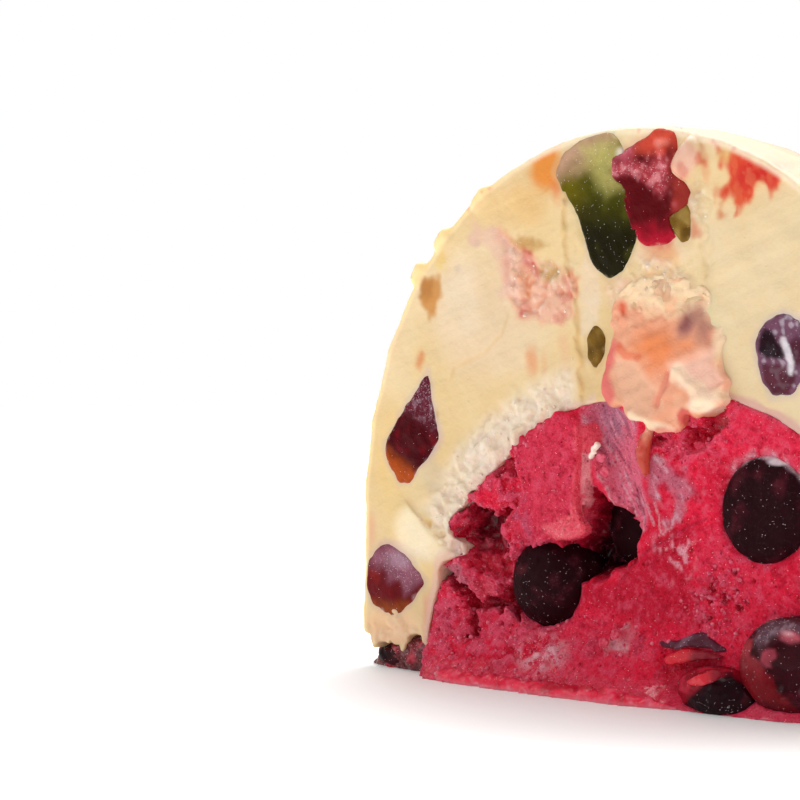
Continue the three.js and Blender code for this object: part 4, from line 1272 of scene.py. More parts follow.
def paint_cream(obj):
    mesh = obj.data
    x, y, z = places(mesh)
    fine, ragged = Grain(0.7, 61).at(x, y, z), Grain(1.6, 62).at(x, y, z)
    cloudy = Grain(9.0, 63).at(x, y, z)
    paint = Paint(len(x), "F5E2B4")
    lay = paint.lay
    lay("F9EAC8", ease(cloudy, -0.2, 0.8) * 0.7)
    lay("F0D8A2", ease(-cloudy, 0.0, 0.9) * 0.6)
    face = fade(y, -6.5, -3.0)
    for code, strength, (cx, cz), (rx, rz), even in CREAM_SPOTS:
        lay(code, strength * face * mound(x + 0.5 * ragged, z + 0.4 * fine, cx, cz, rx, rz, even))
    grain = grainy(x, z) * face
    lay("FFFAF2", 0.85 * grain)
    torn = face * area(x, z, TORN_PATCH, 0.9 * ragged, 1.3)
    lay("F6AE96", torn * 0.9)
    for code, strength, points in CREAM_PATCHES:
        lay(code, strength * face * area(x, z, points, 0.8 * ragged + 0.4 * fine, 1.1))
    lay("FFE8E0", torn * 0.45 * ease(fine + 0.6 * ragged, 0.3, 0.9))
    nub = face * area(x, z, NUB, 0.15 * ragged, 0.6) * (y < FRONT_Y - 0.5)
    lay("F2C8B8", nub * 0.9)
    lay("DC8E80", nub * 0.7 * ease(ragged - 0.3 * (z - 101), 0.3, 1.2))
    # painted highlight on the nub's top
    lay("FFF4F0", nub * 0.8 * mound(x, z, 12.6, 104.0, 2.2, 1.6, 0.2))
    lay("F4CCC4", face * streak(x, z, PINK_STREAK, 3.4, 1.2 * ragged) * 0.6)
    drawn = Grain(1.1, 64).at(x, 0 * x, z * 0.4)
    lay("F6BC7C", area(x, z, ORANGE_STAIN, 1.0 * drawn, 2.6) * face * 0.8)
    stain = area(x, z, ORANGE_STAIN, 1.5 * drawn + 0.5 * fine, 1.5) * face
    lay("E43A06", stain * 0.97)
    lay("DA1E00", stain * mound(x + ragged, z + drawn, 29.0, 97.8, 8.0, 4.4, 0.2))
    lay("F59A64", stain * 0.25 * ease(drawn + 0.5 * fine, 0.2, 1.0))
    lay("F8C490", stain * 0.15 * ease(-drawn + 0.6 * fine, 0.5, 1.0))
    for code, (cx, cz), (rx, rz) in RED_SPOTS:
        spot = mound(x + 0.9 * ragged, z + 0.6 * fine, cx, cz, rx * 1.3, rz * 1.3, 0.1)
        lay(code, spot * face * 0.85)
    side = x - ridge_x(z)
    tall = mound(0, z, 0, 76, 1, 25, 0.72) * face
    # painted shadow: a thin amber line just behind the ragged step
    lay("EAC684", tall * 0.4 * bell(side - 0.35, 0.45))
    # painted shadow: a thin amber line along the smear's lip
    lay("E6C68C", face * 0.35 * bell(line(x, z, SMEAR[:6]), 0.4))
    # painted shade: the crack drawn darker
    lay("C49A9A", face * 0.5 * bell(line(x, z, CRACK) + 0.4 * np.abs(ragged), 0.5))
    rise = above_tongue(x, z)
    # painted shadow: yellow just above the smooth tongue's raised edge
    lay("F6D884", face * 0.7 * mound(x, z, -48, 30, 8, 6, 0.3) * bell(rise - 0.9, 1.1))
    rim = rim_of_core(x, z)
    lay("E4B2B8", face * 0.75 * fade(rim, 0.2, 1.3 + 0.5 * ragged) * ease(x, 12, 20))
    lay("F6D2D2", face * 0.7 * fade(rim, 0.1, 1.2 + 0.4 * ragged) * fade(x, -14, -8))
    lay("F8E0D8", face * 0.6 * streak(x, z, CREAM_LIP, 1.3, 0.3 * ragged))
    for name, tint in FRUIT_TINTS.items():
        away = outline(x, z, FRUITS[name][0]) + 0.35 * ragged
        lay(tint, face * 0.4 * fade(away, 0.3, 1.6))
    # painted shade in the crevices between crumbs, and a painted highlight on the crumbs' tips
    sunk = y - FRONT_Y - cream_inset(x, z)
    soft = face * crumbled(x, z)
    loose = np.clip(grain + torn + soft + 0.5 * mound(x, z, -60, 7.5, 10, 5.5, 0.5), 0, 1)
    blushed = np.clip(torn + mound(x, z, 7, 77.5, 14, 5.5, 0.4), 0, 1)
    lay("F0B496", face * 0.8 * mound(x + ragged, z + 0.8 * ragged, 7, 76.5, 13, 5.0, 0.3))
    lay("D2A472", loose * (1 - blushed) * (y < -7) * 0.8 * ease(sunk, 0.12, 0.9))
    lay("DC7C68", loose * blushed * (y < -7) * 0.8 * ease(sunk, 0.12, 0.9))
    lay("FFF8EE", loose * (0.6 - 0.3 * blushed) * ease(-sunk, 0.05, 0.6))
    lay("FFFCF0", face * 0.75 * mound(x, z, -50, 29, 9, 7, 0.4) * (rise < 0.2))
    paint.values = paint.values * CREAM_WARMTH
    lay("FDEBC8", face * 0.8 * mound(x, z, -51, 29, 10, 7, 0.5) * (rise < 0.2))
    lay("F6C8A4", face * 0.5 * mound(x, z, -60, 9, 10, 6, 0.5))
    back = ease(y, 33, 35)
    lay("F2DEB4", back * 0.6 * ease(ragged + cloudy, 0.0, 1.0))
    for name, tint in (("red", "F2B7A4"), ("peach", "F4C6A0"), ("green", "E6DEAC")):
        points = BACK_FRUITS[f"candied_{name}_back"][0]
        lay(tint, back * 0.8 * fade(outline(x, z, points) + 0.8 * ragged, 0.0, 2.6))
    lay("E2B4C0", back * 0.6 * fade(core(x, y, z), 0.2, 1.4))
    lay_shell_edge(paint, x, y, z)
    put(mesh, "paint", paint.values)
    sheen = 0.3 * mound(x, z, 40, 80, 30, 30) + 0.3 * mound(x, z, -36, 70, 18, 14)
    put(mesh, "wet", np.clip(face * sheen + 0.4 * stain + nub, 0, 1))
    put(mesh, "frost", np.clip(0.4 * torn + 0.55 * grain + 0.5 * soft, 0, 1))
    put(mesh, "sparkle", 0.1 * torn + 0.04 * grain + 0.05 * soft)
    put(mesh, "crumbs", 0.15 * grain + 0.05 * torn + 0.08 * soft)


# ------------------------------------------------------------------ the sorbet's colours

RED_STRIP = [
    (-11.8, 50.8), (-10.1, 51.8), (-7.9, 50.9), (-7.9, 48.0), (-8.5, 45.5), (-10.3, 44.5), (-10.0, 41.1),
    (-10.3, 37.2), (-9.4, 35.3), (-9.9, 33.0), (-8.3, 31.7), (-8.8, 30.4), (-11.2, 29.5), (-15.0, 28.8),
    (-17.5, 29.9), (-20.0, 31.5), (-16.2, 32.7), (-12.5, 34.1), (-11.9, 37.1), (-11.9, 41.0), (-11.3, 44.9)
]
BLOCK_LEFT = [(-32, 26), (-32, 47), (-24, 50), (-25, 40), (-22, 30), (-21, 26)]
FRESH_CUT = [
    (-19, 25), (-10, 17), (4, 14), (16, 15), (13, 27), (16, 34), (8, 31), (1, 26), (-3, 21), (-12, 21)
]


def paint_sorbet(obj):
    mesh = obj.data
    x, y, z = places(mesh)
    fine, ragged, cloudy = Grain(0.7, 81).at(x, y, z), Grain(1.5, 82).at(x, y, z), Grain(8.0, 83).at(x, y, z)
    face = fade(y, 4.0, 8.0)
    deep = y - FRONT_Y + foot_reach(x, z)
    coarse = crumbliness(x, z)
    paint = Paint(len(x), "F8264A")
    lay = paint.lay
    lay("EA3454", ease(cloudy, -0.2, 0.9) * 0.6)
    lay("D81838", ease(-cloudy, 0.1, 1.0) * 0.6)
    lay("CE1C3A", 0.8 * face * area(x, z, FRESH_CUT, ragged, 2.0))
    block = ease(-outline(x, z, BLOCK), -0.3, 0.9) * (y < -5)
    lay("E23A56", block * 0.85)
    # painted shade where the crumbly face lies back, and a painted highlight where it stands out
    sunk = (y - FRONT_Y - sorbet_inset(x, z)) * (y < -3) * (1 - block)
    lay("A8061F", face * 0.75 * coarse * ease(sunk, 0.1, 0.9))
    lay("F0607E", face * 0.65 * coarse * ease(-sunk, 0.05, 0.6))
    grit = ease(ragged + 0.7 * fine, 0.3, 1.3)
    lay("B41030", face * 0.5 * ease(-ragged - 0.7 * fine, 0.3, 1.3))
    lay("F26684", face * 0.4 * grit)
    crumbling = block * inside(x, z, BLOCK_LEFT, 0, -1, 3)
    lay("C4587A", crumbling * 0.7 * ease(ragged + 0.5 * fine, -0.2, 0.8))
    # painted highlight on the crumbs that stand furthest forward; below, painted shade that deepens to near
    # black in the hollows
    lay("EA5474", face * coarse * 0.5 * fade(deep + 0.3 * ragged, -0.9, 0.2) * (1 - block))
    sunk = face * (1 - block)
    lay("CC0C30", sunk * 0.8 * ease(deep, 0.8, 2.8))
    lay("7A0218", sunk * 0.9 * ease(deep, 3.4, 6.6))
    lay("200007", sunk * 0.95 * ease(deep, 6.5, 10.5))
    lay("D42A48", sunk * 0.8 * mound(x, z, *KNOB, 4.4, 3.2, 0.4))
    lay("C07888", sunk * 0.75 * area(x, z, SIDE_LEDGE, 0.5 * ragged))
    # the bright strip round the block's edge: its own wet red, partly a painted glow of light through the
    # edge
    strip = area(x, z, RED_STRIP, 0.2 * fine, 0.5) * (y < -6.5)
    lay("FF566A", strip * 0.95)
    edge = (y < -6.5) * (y > -9.2) * fade(np.abs(x + 10.2), 0.6, 1.6) * ease(z, 33, 35) * (z < 46)
    lay("F4AEB2", edge * 0.6)
    slope = area(x, z, SLOPE, 0.5 * ragged, 1.0) * (y < 0) * (1 - strip) * (1 - block)
    thread = threads(x, z, 3)
    # the slope's light colours fade where it sinks into the cavity: painted shade
    lay("F07C96", slope * 0.9 * (1 - 0.6 * ease(deep, 4, 8)))
    lay("8E2C4A", slope * 0.6 * ease(-thread + 0.5 * ragged, 0.1, 0.9))
    lay("B48098", slope * 0.75 * mound(x, z, -5.5, 53, 6.5, 8, 0.2))
    lay("EBAEBE", slope * 0.75 * ease(thread + 0.6 * ragged, 0.4, 1.2) * (1 - 0.6 * ease(deep, 4, 8)))
    film = area(x, z, SMEARED, 0.9 * ragged + 0.3 * fine, 0.9) * (y < -6)
    lay("C87E94", film * 0.7)
    lay("EAC4D0", film * 0.65 * ease(threads(x, z, 4) + 0.8 * ragged, 0.1, 1.1))
    feather = area(x, z, FEATHER, 1.6 * ragged + fine, 2.2) * (y < -6)
    lay("F4B8C4", feather * 0.75 * ease(fine + 0.4 * ragged, 0.0, 0.8))
    broken = 0.35 * np.abs(fine + ragged)
    for path in THREADS:
        lay("E8BCC8", 0.6 * streak(x + 0.5 * ragged, z, path, 0.6, broken) * (y < -2))
    # painted shade: a dark line along the knife's step
    lay("8A1A34", face * 0.4 * bell(line(x, z, KNIFE_LINE), 0.35))
    glint = face * mound(x, z, -19, 6.8, 8, 5.0, 0.2)
    lay("FFC8D2", glint * 0.95 * ease(ragged + 0.5 * fine, -0.4, 0.5))
    lay("EFB4BE", face * 0.75 * area(x, z, CRUMB_MOUND, 0.6 * ragged) * ease(ragged, -0.6, 0.5))
    lay("D85E7C", face * 0.5 * mound(x, z, -46, 11, 6, 6, 0.2) * ease(ragged, -0.3, 0.7))
    melt = face * fade(z + 1.0 * ragged, 1.5, 5.5) * (x > -48)
    lay("FF4466", melt * 0.85)
    rim = rim_of_core(x, z)
    border = ease(rim, -2.2, -0.3) * (y < -6)
    lay("CC7084", border * 0.5 * ease(x, 14, 22) * ease(ragged, -0.9, 0.3))
    lay("D88C9C", border * 0.4 * fade(x, -20, -14) * ease(ragged, -0.2, 0.5))
    round_cherry = mound(x, z, 31.0, 37.0, 11.8, 12.2, 0.7) * (y < -7)
    halo = round_cherry * ease(z + 0.3 * np.abs(x - 31), 42, 47) * ease(ragged + 0.6 * fine, -0.9, 0.3)
    lay("D49CB0", halo * 0.85)
    lay("F2DCE2", halo * 0.7 * ease(fine + 0.5 * ragged, 0.2, 0.9))
    put(mesh, "paint", paint.values)
    wet = np.maximum(np.maximum(strip, melt), 0.5 * mound(x, z, *KNOB, 4.4, 3.2, 0.4))
    put(mesh, "wet", np.clip(np.maximum(wet, 0.6 * face * ease(deep, 1.5, 4.0)), 0, 1))
    frost = 0.3 + 0.3 * coarse + glint + 0.8 * halo + 0.4 * slope + 0.3 * film + 0.4 * feather
    put(mesh, "frost", np.clip(frost * face * (1 - 0.7 * ease(deep, 2, 5)), 0, 1))
    shallow = face * fade(deep, 2.0, 4.5)
    sparkle = 0.04 + 0.06 * coarse + 1.2 * glint + 0.3 * halo + 0.5 * feather
    put(mesh, "sparkle", sparkle * shallow + 0.03 * face)
    crumbs = 0.4 * coarse * (1 - block) + 0.4 * crumbling + 0.6 * mound(x, z, 20, 20, 10, 9, 0.3)
    put(mesh, "crumbs", crumbs * shallow)


# ------------------------------------------------------------------ the fruit's colours

GREEN_STREAK = [
    (-11.4, 104.1), (-9.8, 102.1), (-8.6, 100.6), (-7.4, 98.1), (-6.8, 96.7), (-5.5, 95.5), (-2.8, 96.8),
    (-3.6, 98.5), (-4.3, 100.5), (-3.6, 102.6), (-4.7, 104.6), (-7.1, 105.4)
]
RED_BAND = [
    (-4.1, 100.9), (-2.6, 102.1), (1.3, 102.9), (2.8, 101.1), (7.2, 101.7), (9.5, 100.9), (10.1, 99.5),
    (9.0, 97.1), (7.8, 94.8), (5.7, 97.2), (2.8, 98.8), (0.1, 98.6), (-3.2, 97.5)
]
PEACH_ORANGE = [
    (4.0, 68.9), (7.9, 69.8), (12.3, 67.5), (15.1, 66.6), (11.7, 64.7), (9.9, 62.8), (6.4, 61.8), (2.3, 66)
]
PEACH_BLOTCH = [
    (13.7, 73.6), (17.4, 73.9), (18.3, 71.5), (19.1, 69.2), (19.1, 66.8), (17.1, 67.5), (15.7, 69.6),
    (14.6, 69.2), (12.2, 68.2), (11.4, 69.9), (12.2, 71.5)
]
PEACH_BAND = [
    (-2.8, 67.4), (-1.3, 66.2), (-2.8, 63.6), (-3.4, 61.4), (-2.8, 59.0), (-1.9, 57.1), (-2.5, 55.4),
    (-5.3, 56.1), (-5.6, 62.6), (-5.0, 65.0)
]
PLUM_BLOOM = [
    (-65.5, 24.6), (-59.2, 26), (-51.7, 21.4), (-50.0, 18.9), (-54.0, 17.2), (-56.8, 15.0), (-58.2, 18.0),
    (-61.0, 17.8), (-62.0, 20.4), (-66.5, 21.2)
]
PLUM_WINDOW = [
    (29.2, 67.8), (30.5, 70.0), (31.6, 69.6), (32.9, 67.8), (34.4, 66.4), (35.0, 64.9), (33.8, 64.4),
    (31.0, 64.7), (29.2, 65.8)
]
PLUM_LOWER_WINDOW = [(30.3, 63.6), (33.8, 63.3), (37.2, 61.2), (35.9, 57.8), (32.3, 57.4), (30.0, 60.6)]
PLUM_STREAK = [(34.6, 67.8), (35.5, 65.7), (36.3, 63.9), (35.9, 62.1)]
PEACH_RED = [(13.0, 53.8), (14.0, 55.0), (15.4, 54.8), (16.8, 53.4), (15.8, 51.8), (13.4, 51.6)]


def paint_green(x, y, z, fine, ragged):
    paint = Paint(len(x), "1C1800")
    paint.lay("4C4A02", ease(z + 0.2 * x + 1.0 * ragged, 85, 97) * 0.9)
    paint.lay("7C6E08", ease(-x - 0.2 * (z - 95) + 0.8 * ragged, 8, 15) * ease(z, 88, 98) * 0.6)
    top = ease(z + 0.4 * x + 1.0 * ragged, 93.5, 99.5)
    paint.lay("AA9A5A", top * 0.9)
    paint.lay("C29A80", ease(z - 0.6 * x + 1.0 * ragged, 105.0, 111.5) * 0.9)
    paint.lay("BCB468", area(x, z, GREEN_STREAK, 0.6 * ragged, 2.2) * 0.7)
    # a pale frosty spot, partly a painted highlight
    paint.lay("F0E6D8", mound(x, z, -1.6, 102.8, 2.2, 1.8, 0.1) * 0.9)
    paint.lay("4A4A08", ease(ragged, 0.3, 1.1) * (1 - top) * 0.4)
    return paint, 0.1 + 0.2 * top, 0.16


def paint_red(x, y, z, fine, ragged):
    paint = Paint(len(x), "5A020A")
    paint.lay("8E0A20", ease(ragged, 0.1, 0.9) * 0.5)
    paint.lay("C01632", fade(z + 1.4 * ragged, 86.0, 90.6) * 0.8)
    paint.lay("A83830", ease(x + 0.8 * ragged + 0.15 * (z - 92), 9.0, 12.6) * 0.8)
    band = area(x, z, RED_BAND, 1.6 * ragged + 0.5 * fine, 2.2)
    paint.lay("BE4650", band * 0.85)
    # frosty threads in the band, partly a painted highlight
    paint.lay("E8A0A4", band * 0.5 * ease(fine + 0.8 * ragged, 0.1, 1.1))
    # its own orange-red at the top, painted lighter there as if lit from above
    paint.lay("D8503C", ease(z - 0.1 * x + 1.2 * ragged, 100.4, 104.2) * ease(x, -1, 3) * 0.9)
    # painted highlight: a pale glint near the top
    paint.lay("F09080", mound(x + 0.5 * ragged, z, 7.4, 104.4, 2.2, 1.4, 0.1) * 0.8)
    paint.lay("C86070", ease(-x, -2, 1) * ease(z + 0.9 * ragged, 99.5, 102.5) * 0.7)
    return paint, 0.1 + 0.6 * band, 0.05 + 0.3 * band


def paint_amber(x, y, z, fine, ragged):
    paint = Paint(len(x), "7A5A1C")
    paint.lay("5A4010", ease(ragged, 0.0, 0.8) * 0.7)
    paint.lay("A88A48", ease(-ragged + 0.2 * (x - x.mean()), 0.1, 0.9) * 0.7)
    return paint, 0.15, 0.05


def paint_upright_plum(x, y, z, fine, ragged):
    """Frosted wine above, clear dark red in the middle, amber at the lower left."""
    paint = Paint(len(x), "4C020C")
    paint.lay("780814", ease(ragged, 0.0, 0.9) * 0.6)
    upper = ease(z + 0.5 * x + 1.0 * ragged, 22.5, 28.5)
    paint.lay("682234", upper * 0.85)
    paint.lay("B090A0", upper * 0.45 * ease(fine + 0.4 * ragged, 0.1, 0.8))
    low = fade(z + 0.55 * (x + 58) + 0.8 * ragged, 40.5, 45.0)
    paint.lay("BC541A", low * 0.85)
    return paint, 0.1 + 0.6 * upper, 0.06 + 0.3 * upper


def paint_bloomed_plum(x, y, z, fine, ragged):
    paint = Paint(len(x), "6E1018")
    paint.lay("8E1E1C", ease(ragged, 0.0, 0.9) * 0.6)
    paint.lay("9A4A1C", fade(z - 0.05 * x + 0.7 * ragged, 15.5, 18.0) * 0.8)
    bloom = area(x, z, PLUM_BLOOM, 0.7 * ragged, 1.2)
    paint.lay("9A6074", bloom * 0.85)
    # painted highlight: a pale band along the top
    paint.lay("B89AAA", mound(x + 0.8 * ragged, z, -58, 22.6, 6.5, 2.8, 0.1) * 0.6)
    return paint, 0.15 + 0.5 * bloom, 0.08 + 0.12 * bloom


def paint_side_plum(x, y, z, fine, ragged):
    paint = Paint(len(x), "5A0A18")
    tall = (z - z.min()) / (z.max() - z.min())
    upper = ease(tall + 0.1 * ragged, 0.5, 0.8)
    paint.lay("A08498", upper * 0.8)
    paint.lay("A0501C", fade(tall + 0.1 * ragged, 0.06, 0.3) * 0.7)
    return paint, 0.15 + 0.4 * upper, 0.1 + 0.1 * upper


def paint_banded_plum(x, y, z, fine, ragged):
    """Smeared with lavender frost, with dark windows in it."""
    paint = Paint(len(x), "784E64")
    paint.lay("CEC4D0", ease(ragged + fine, 0.1, 1.0) * 0.55)
    paint.lay("1A060C", area(x, z, PLUM_WINDOW, 0.35 * ragged, 0.5) * 0.95)
    paint.lay("4A1826", mound(x, z, 37.6, 65.8, 2.9, 3.4, 0.5) * 0.85)
    paint.lay("561C28", area(x, z, PLUM_LOWER_WINDOW, 0.4 * ragged, 0.6) * 0.8)
    paint.lay("EDE8EE", streak(x, z, PLUM_STREAK, 1.0, 0.2 * fine) * 0.9)
    return paint, 0.1 + 0.2 * ease(ragged, 0, 1), 0.25


def paint_peach(x, y, z, fine, ragged):
    paint = Paint(len(x), "ECA684")
    paint.lay("F2BE9C", ease(ragged, -0.2, 0.9) * 0.4)
    paint.lay("EC8448", area(x, z, PEACH_ORANGE, 1.4 * ragged, 3.2) * 0.85)
    paint.lay("E6B494", area(x, z, PEACH_FLAT, 0.8 * ragged, 1.6) * 0.85)
    paint.lay("F2C4B0", area(x, z, PEACH_ROSY, 0.8 * ragged, 1.6) * 0.8)
    frosty = ease(z + 1.5 * ragged + 0.4 * fine + 0.16 * (x - 8), 71.0, 74.5)
    paint.lay("F4D6AE", frosty * 0.92)
    paint.lay("F0B48C", frosty * 0.7 * ease(ragged, 0.1, 0.9))
    paint.lay("F6DDB8", mound(x, z, 21.0, 69, 2.4, 8, 0.4) * 0.7)
    blotch = area(x, z, PEACH_BLOTCH, 0.9 * ragged, 1.8)
    paint.lay("B07668", blotch * 0.85)
    paint.lay("8A4A50", mound(x + 0.4 * ragged, z, 13.6, 70.6, 2.6, 3.0, 0.0) * 0.8)
    paint.lay("E05838", mound(x, z, -2.0, 73.4, 2.2, 2.8, 0.2) * ease(ragged, -0.7, 0.2) * 0.9)
    paint.lay("DE5E62", area(x, z, PEACH_BAND, 0.7 * ragged, 1.0) * 0.8)
    paint.lay("E8744E", streak(x, z, [(-1.5, 66.5), (0.5, 64.8), (3.5, 64.4)], 1.2, 0.2 * ragged) * 0.7)
    paint.lay("E48470", streak(x, z, PEACH_SLIT, 1.3, 0.5 * ragged) * 0.55)
    paint.lay("FBE2C4", streak(x, z, PEACH_LIP, 2.4, 0.8 * ragged) * 0.75)
    paint.lay("FBE8CA", mound(x, z, 18.6, 55.6, 4.6, 1.9, 0.4) * 0.85)
    paint.lay("FAE6C6", streak(x, z, [(2.4, 53.2), (7.0, 51.6), (11.4, 50.4)], 1.7, 0.3 * ragged) * 0.8)
    paint.lay("DA5A54", area(x, z, PEACH_RED, 0.4 * ragged, 0.4) * 0.9)
    paint.lay("E06A60", fade(z + 0.8 * ragged, 50.2, 51.8) * 0.7)
    return paint, 0.1 + 0.15 * frosty + 0.1 * blotch, 0.02 + 0.05 * frosty


def paint_cherry(x, y, z, fine, ragged):
    paint = Paint(len(x), "26080E")
    paint.lay("42101A", ease(ragged, 0.1, 0.9) * 0.7)
    paint.lay("5A2028", ease(ragged + 0.5 * fine, 0.8, 1.4) * 0.5)
    return paint, 0.1 + 0.15 * ease(ragged, -0.2, 0.6), 0.12


def paint_rimmed_cherry(x, y, z, fine, ragged):
    paint, frost, sparkle = paint_cherry(x, y, z, fine, ragged)
    level = np.hypot((x - 30.4) / 10.2, (z - 36.9) / 10.4)
    rim = ease(level + 0.06 * ragged, 0.88, 0.99) * ease(z + 0.1 * x, 45, 48)
    paint.lay("DDBCC6", rim * 0.85)
    paint.lay("F0E2E8", mound(x, z, 33.6, 45.8, 3.0, 0.9, 0.4) * 0.9)
    return paint, np.clip(0.2 + rim, 0, 1), 0.11 + 0.3 * rim


# seen from the camera, on a plane at the front of the foot: x grows and z falls as one looks further back
SEEN_PLANE = -17.0
CHERRY_SKIN_BAND = [
    (29.7, 14.3), (31.3, 14.1), (33.0, 14.8), (33.6, 13.4), (33.4, 11.6), (35.1, 10.3), (37.3, 8.3),
    (38.8, 6.1), (40.5, 4.2), (43.6, 2.3), (46.5, 1.0), (46.0, -1.0), (40.5, -1.0), (37.3, 0.4),
    (34.5, 2.4), (32.6, 4.3), (31.0, 6.4), (29.0, 8.2), (28.2, 10.3), (28.4, 12.5)
]
CHERRY_PALE_RIM = [
    (33.8, 14.3), (35.1, 16.2), (37.2, 17.6), (40.4, 18.4), (44.6, 18.2), (46.6, 16.0), (43.6, 15.8),
    (40.4, 16.2), (37.7, 15.6), (36.0, 14.0), (35.1, 12.0), (34.5, 12.4)
]
CHERRY_FLAP = [
    (36.8, 12.8), (38.3, 12.9), (38.5, 11.6), (37.3, 10.6), (37.7, 9.6), (36.4, 9.5), (35.1, 10.8),
    (35.6, 12.3)
]
DARK_JUICE = [
    (17.0, 0.5), (19.0, 2.1), (22.1, 4.2), (25.4, 6.4), (29.1, 7.6), (31.3, 6.4), (33.0, 5.0), (36.3, 3.9),
    (38.3, -1.4), (17.0, -1.4)
]


def seen(x, y, z):
    away = y - SEEN_PLANE
    return x + 0.69 * away, z + 0.14 * away


def paint_half_sunk_cherry(x, y, z, fine, ragged):
    """Dark and wet below, red flesh above."""
    across, up = seen(x, y, z)
    paint = Paint(len(x), "9A1026")
    paint.lay("D03048", ease(ragged + 0.4 * fine, 0.0, 1.0) * 0.7)
    dark = area(across, up, DARK_JUICE, 0.5 * ragged + 0.2 * fine, 0.5)
    paint.lay("14020A", dark * 0.97)
    paint.lay("4A0A18", dark * 0.6 * ease(ragged, 0.3, 1.0))
    # crystals strewn thick on two spots of the dark juice stand for painted highlight glints on the wet skin
    left, right = mound(across, up, 22.6, 2.6, 3.2, 1.5, 0.1), mound(across, up, 28.6, 1.9, 3.4, 1.6, 0.1)
    return paint, 0.05, 0.06 + 0.8 * (dark * (left + right))


def paint_open_cherry(x, y, z, fine, ragged):
    """Dark flesh inside a torn reddish skin, with a pale rim above."""
    across, up = seen(x, y, z)
    paint = Paint(len(x), "3E0A14")
    paint.lay("66182A", ease(ragged + 0.5 * fine, 0.2, 1.1) * 0.7)
    rim = area(across, up, CHERRY_PALE_RIM, 0.6 * ragged, 0.8)
    paint.lay("6E4C5A", rim * 0.85)
    paint.lay("A88C98", rim * 0.6 * ease(ragged + fine, 0.3, 1.2))
    band = area(across, up, CHERRY_SKIN_BAND, 0.5 * ragged + 0.2 * fine, 0.5)
    paint.lay("86141F", band * 0.95)
    paint.lay("B0404A", band * 0.7 * ease(up + ragged, 7.5, 12.5))
    paint.lay("4A0A14", band * 0.8 * fade(up + ragged, 1.5, 5.0))
    paint.lay("B4485A", area(across, up, CHERRY_FLAP, 0.3 * ragged, 0.5) * 0.9)
    paint.lay("C45C6C", mound(across + 0.5 * ragged, up, 41.4, 15.4, 2.9, 1.7, 0.3) * 0.95)
    paint.lay("EBB4BC", mound(across + 0.5 * ragged, up, 41.0, 16.0, 1.6, 0.8, 0.1) * 0.8)
    return paint, 0.1 + 0.3 * rim, 0.12 + 0.4 * rim


def speckled(ground, spots, low, high, strength=0.75, frost=None, sparkle=0.1, finer=0.0):
    """A painter with one colour and ragged spots of another."""

    def painter(x, y, z, fine, ragged):
        paint = Paint(len(x), ground)
        paint.lay(spots, ease(ragged + finer * fine, low, high) * strength)
        return paint, 0.3 + 0.3 * ease(ragged, 0, 1) if frost is None else frost, sparkle

    return painter


def fruit_kinds():
    """Finish, slot and colours for each piece of fruit."""
    dark = fruit_finish("frozen_cherry", (1.0, 0.15, 0.2), 0.0008, 0.0, 0.42, 0.04)
    wet = fruit_finish("wet_cherry", (1.0, 0.12, 0.15), 0.0008, 0.1, 0.34, 0.06)
    glassy = fruit_finish("candied_fruit", (1.0, 0.4, 0.2), 0.001, 0.02, 0.36, 0.05, 0.3)
    plum = fruit_finish("candied_plum", (1.0, 0.2, 0.2), 0.001, 0.02, 0.38, 0.05)
    soft = fruit_finish("candied_peach_flesh", (1.0, 0.45, 0.25), 0.0022, 0.05, 0.42, 0.15, 0.1)
    side_plum = (plum, "plum_fruit", paint_side_plum)
    kinds = {
        "candied_green": (glassy, "green_fruit", paint_green),
        "candied_red": (glassy, "red_fruit", paint_red),
        "candied_olive": (glassy, "amber_fruit", paint_amber),
        "candied_amber_1": (glassy, "amber_fruit", paint_amber),
        "candied_amber_2": (glassy, "amber_fruit", paint_amber),
        "candied_plum_1": (plum, "plum_fruit", paint_upright_plum),
        "candied_plum_2": (plum, "plum_fruit", paint_bloomed_plum),
        "candied_plum_3": (plum, "plum_fruit", paint_banded_plum),
        "candied_plum_4": side_plum,
        "candied_plum_back_1": side_plum,
        "candied_plum_back_2": side_plum,
        "candied_green_back": (glassy, "green_fruit", speckled("35431A", "97935C", 0.0, 0.9)),
        "candied_red_back": (glassy, "red_fruit", speckled("8E1026", "C87482", 0.1, 0.9)),
        "candied_peach_back": (soft, "peach_fruit", speckled("EC9468", "F4CAA8", -0.1, 0.8)),
        "candied_peach": (soft, "peach_fruit", paint_peach),
        "cherry_3": (dark, "cherry", paint_rimmed_cherry),
        "cherry_4": (wet, "cherry", paint_half_sunk_cherry),
        "cherry_6": (wet, "cherry", speckled("22040A", "4E0A16", 0.1, 0.8, 0.8, 0.05, 0.15)),
        "cherry_5": (wet, "cherry", paint_open_cherry)
    }
    for name in CHERRIES:
        kinds.setdefault(name, (dark, "cherry", paint_cherry))
    return kinds


def make_piece(name, finish, block, field, painter, seeds, nodes=()):
    """A painted piece from its own field, kept off the ground and closed at the ends of its block."""
    field[[0, -1]] = field[:, [0, -1]] = field[:, :, [0, -1]] = 1.0
    mesh = plain_mesh(name, *skin(block, np.maximum(field, -block.z + 0.02)))
    obj = shown(name, mesh, finish, nodes)
    place = places(mesh)
    paint, frost, sparkle = painter(*place, Grain(0.6, seeds[0]).at(*place), Grain(1.7, seeds[1]).at(*place))
    put(mesh, "paint", paint.values)
    put(mesh, "frost", frost)
    put(mesh, "sparkle", sparkle)
    return obj


def with_tint(painter, name, seed):
    """A painter that also lays the cream's tint just outside the fruit's outline."""

    def tinted(x, y, z, fine, ragged):
        paint, frost, sparkle = painter(x, y, z, fine, ragged)
        away = outline(x, z, FRUITS[name][0]) + 0.7 * Grain(0.9, seed).at(x, y, z)
        paint.lay(FRUIT_TINTS[name], 0.4 * ease(away, 0.1, 1.2))
        return paint, frost, sparkle

    return tinted


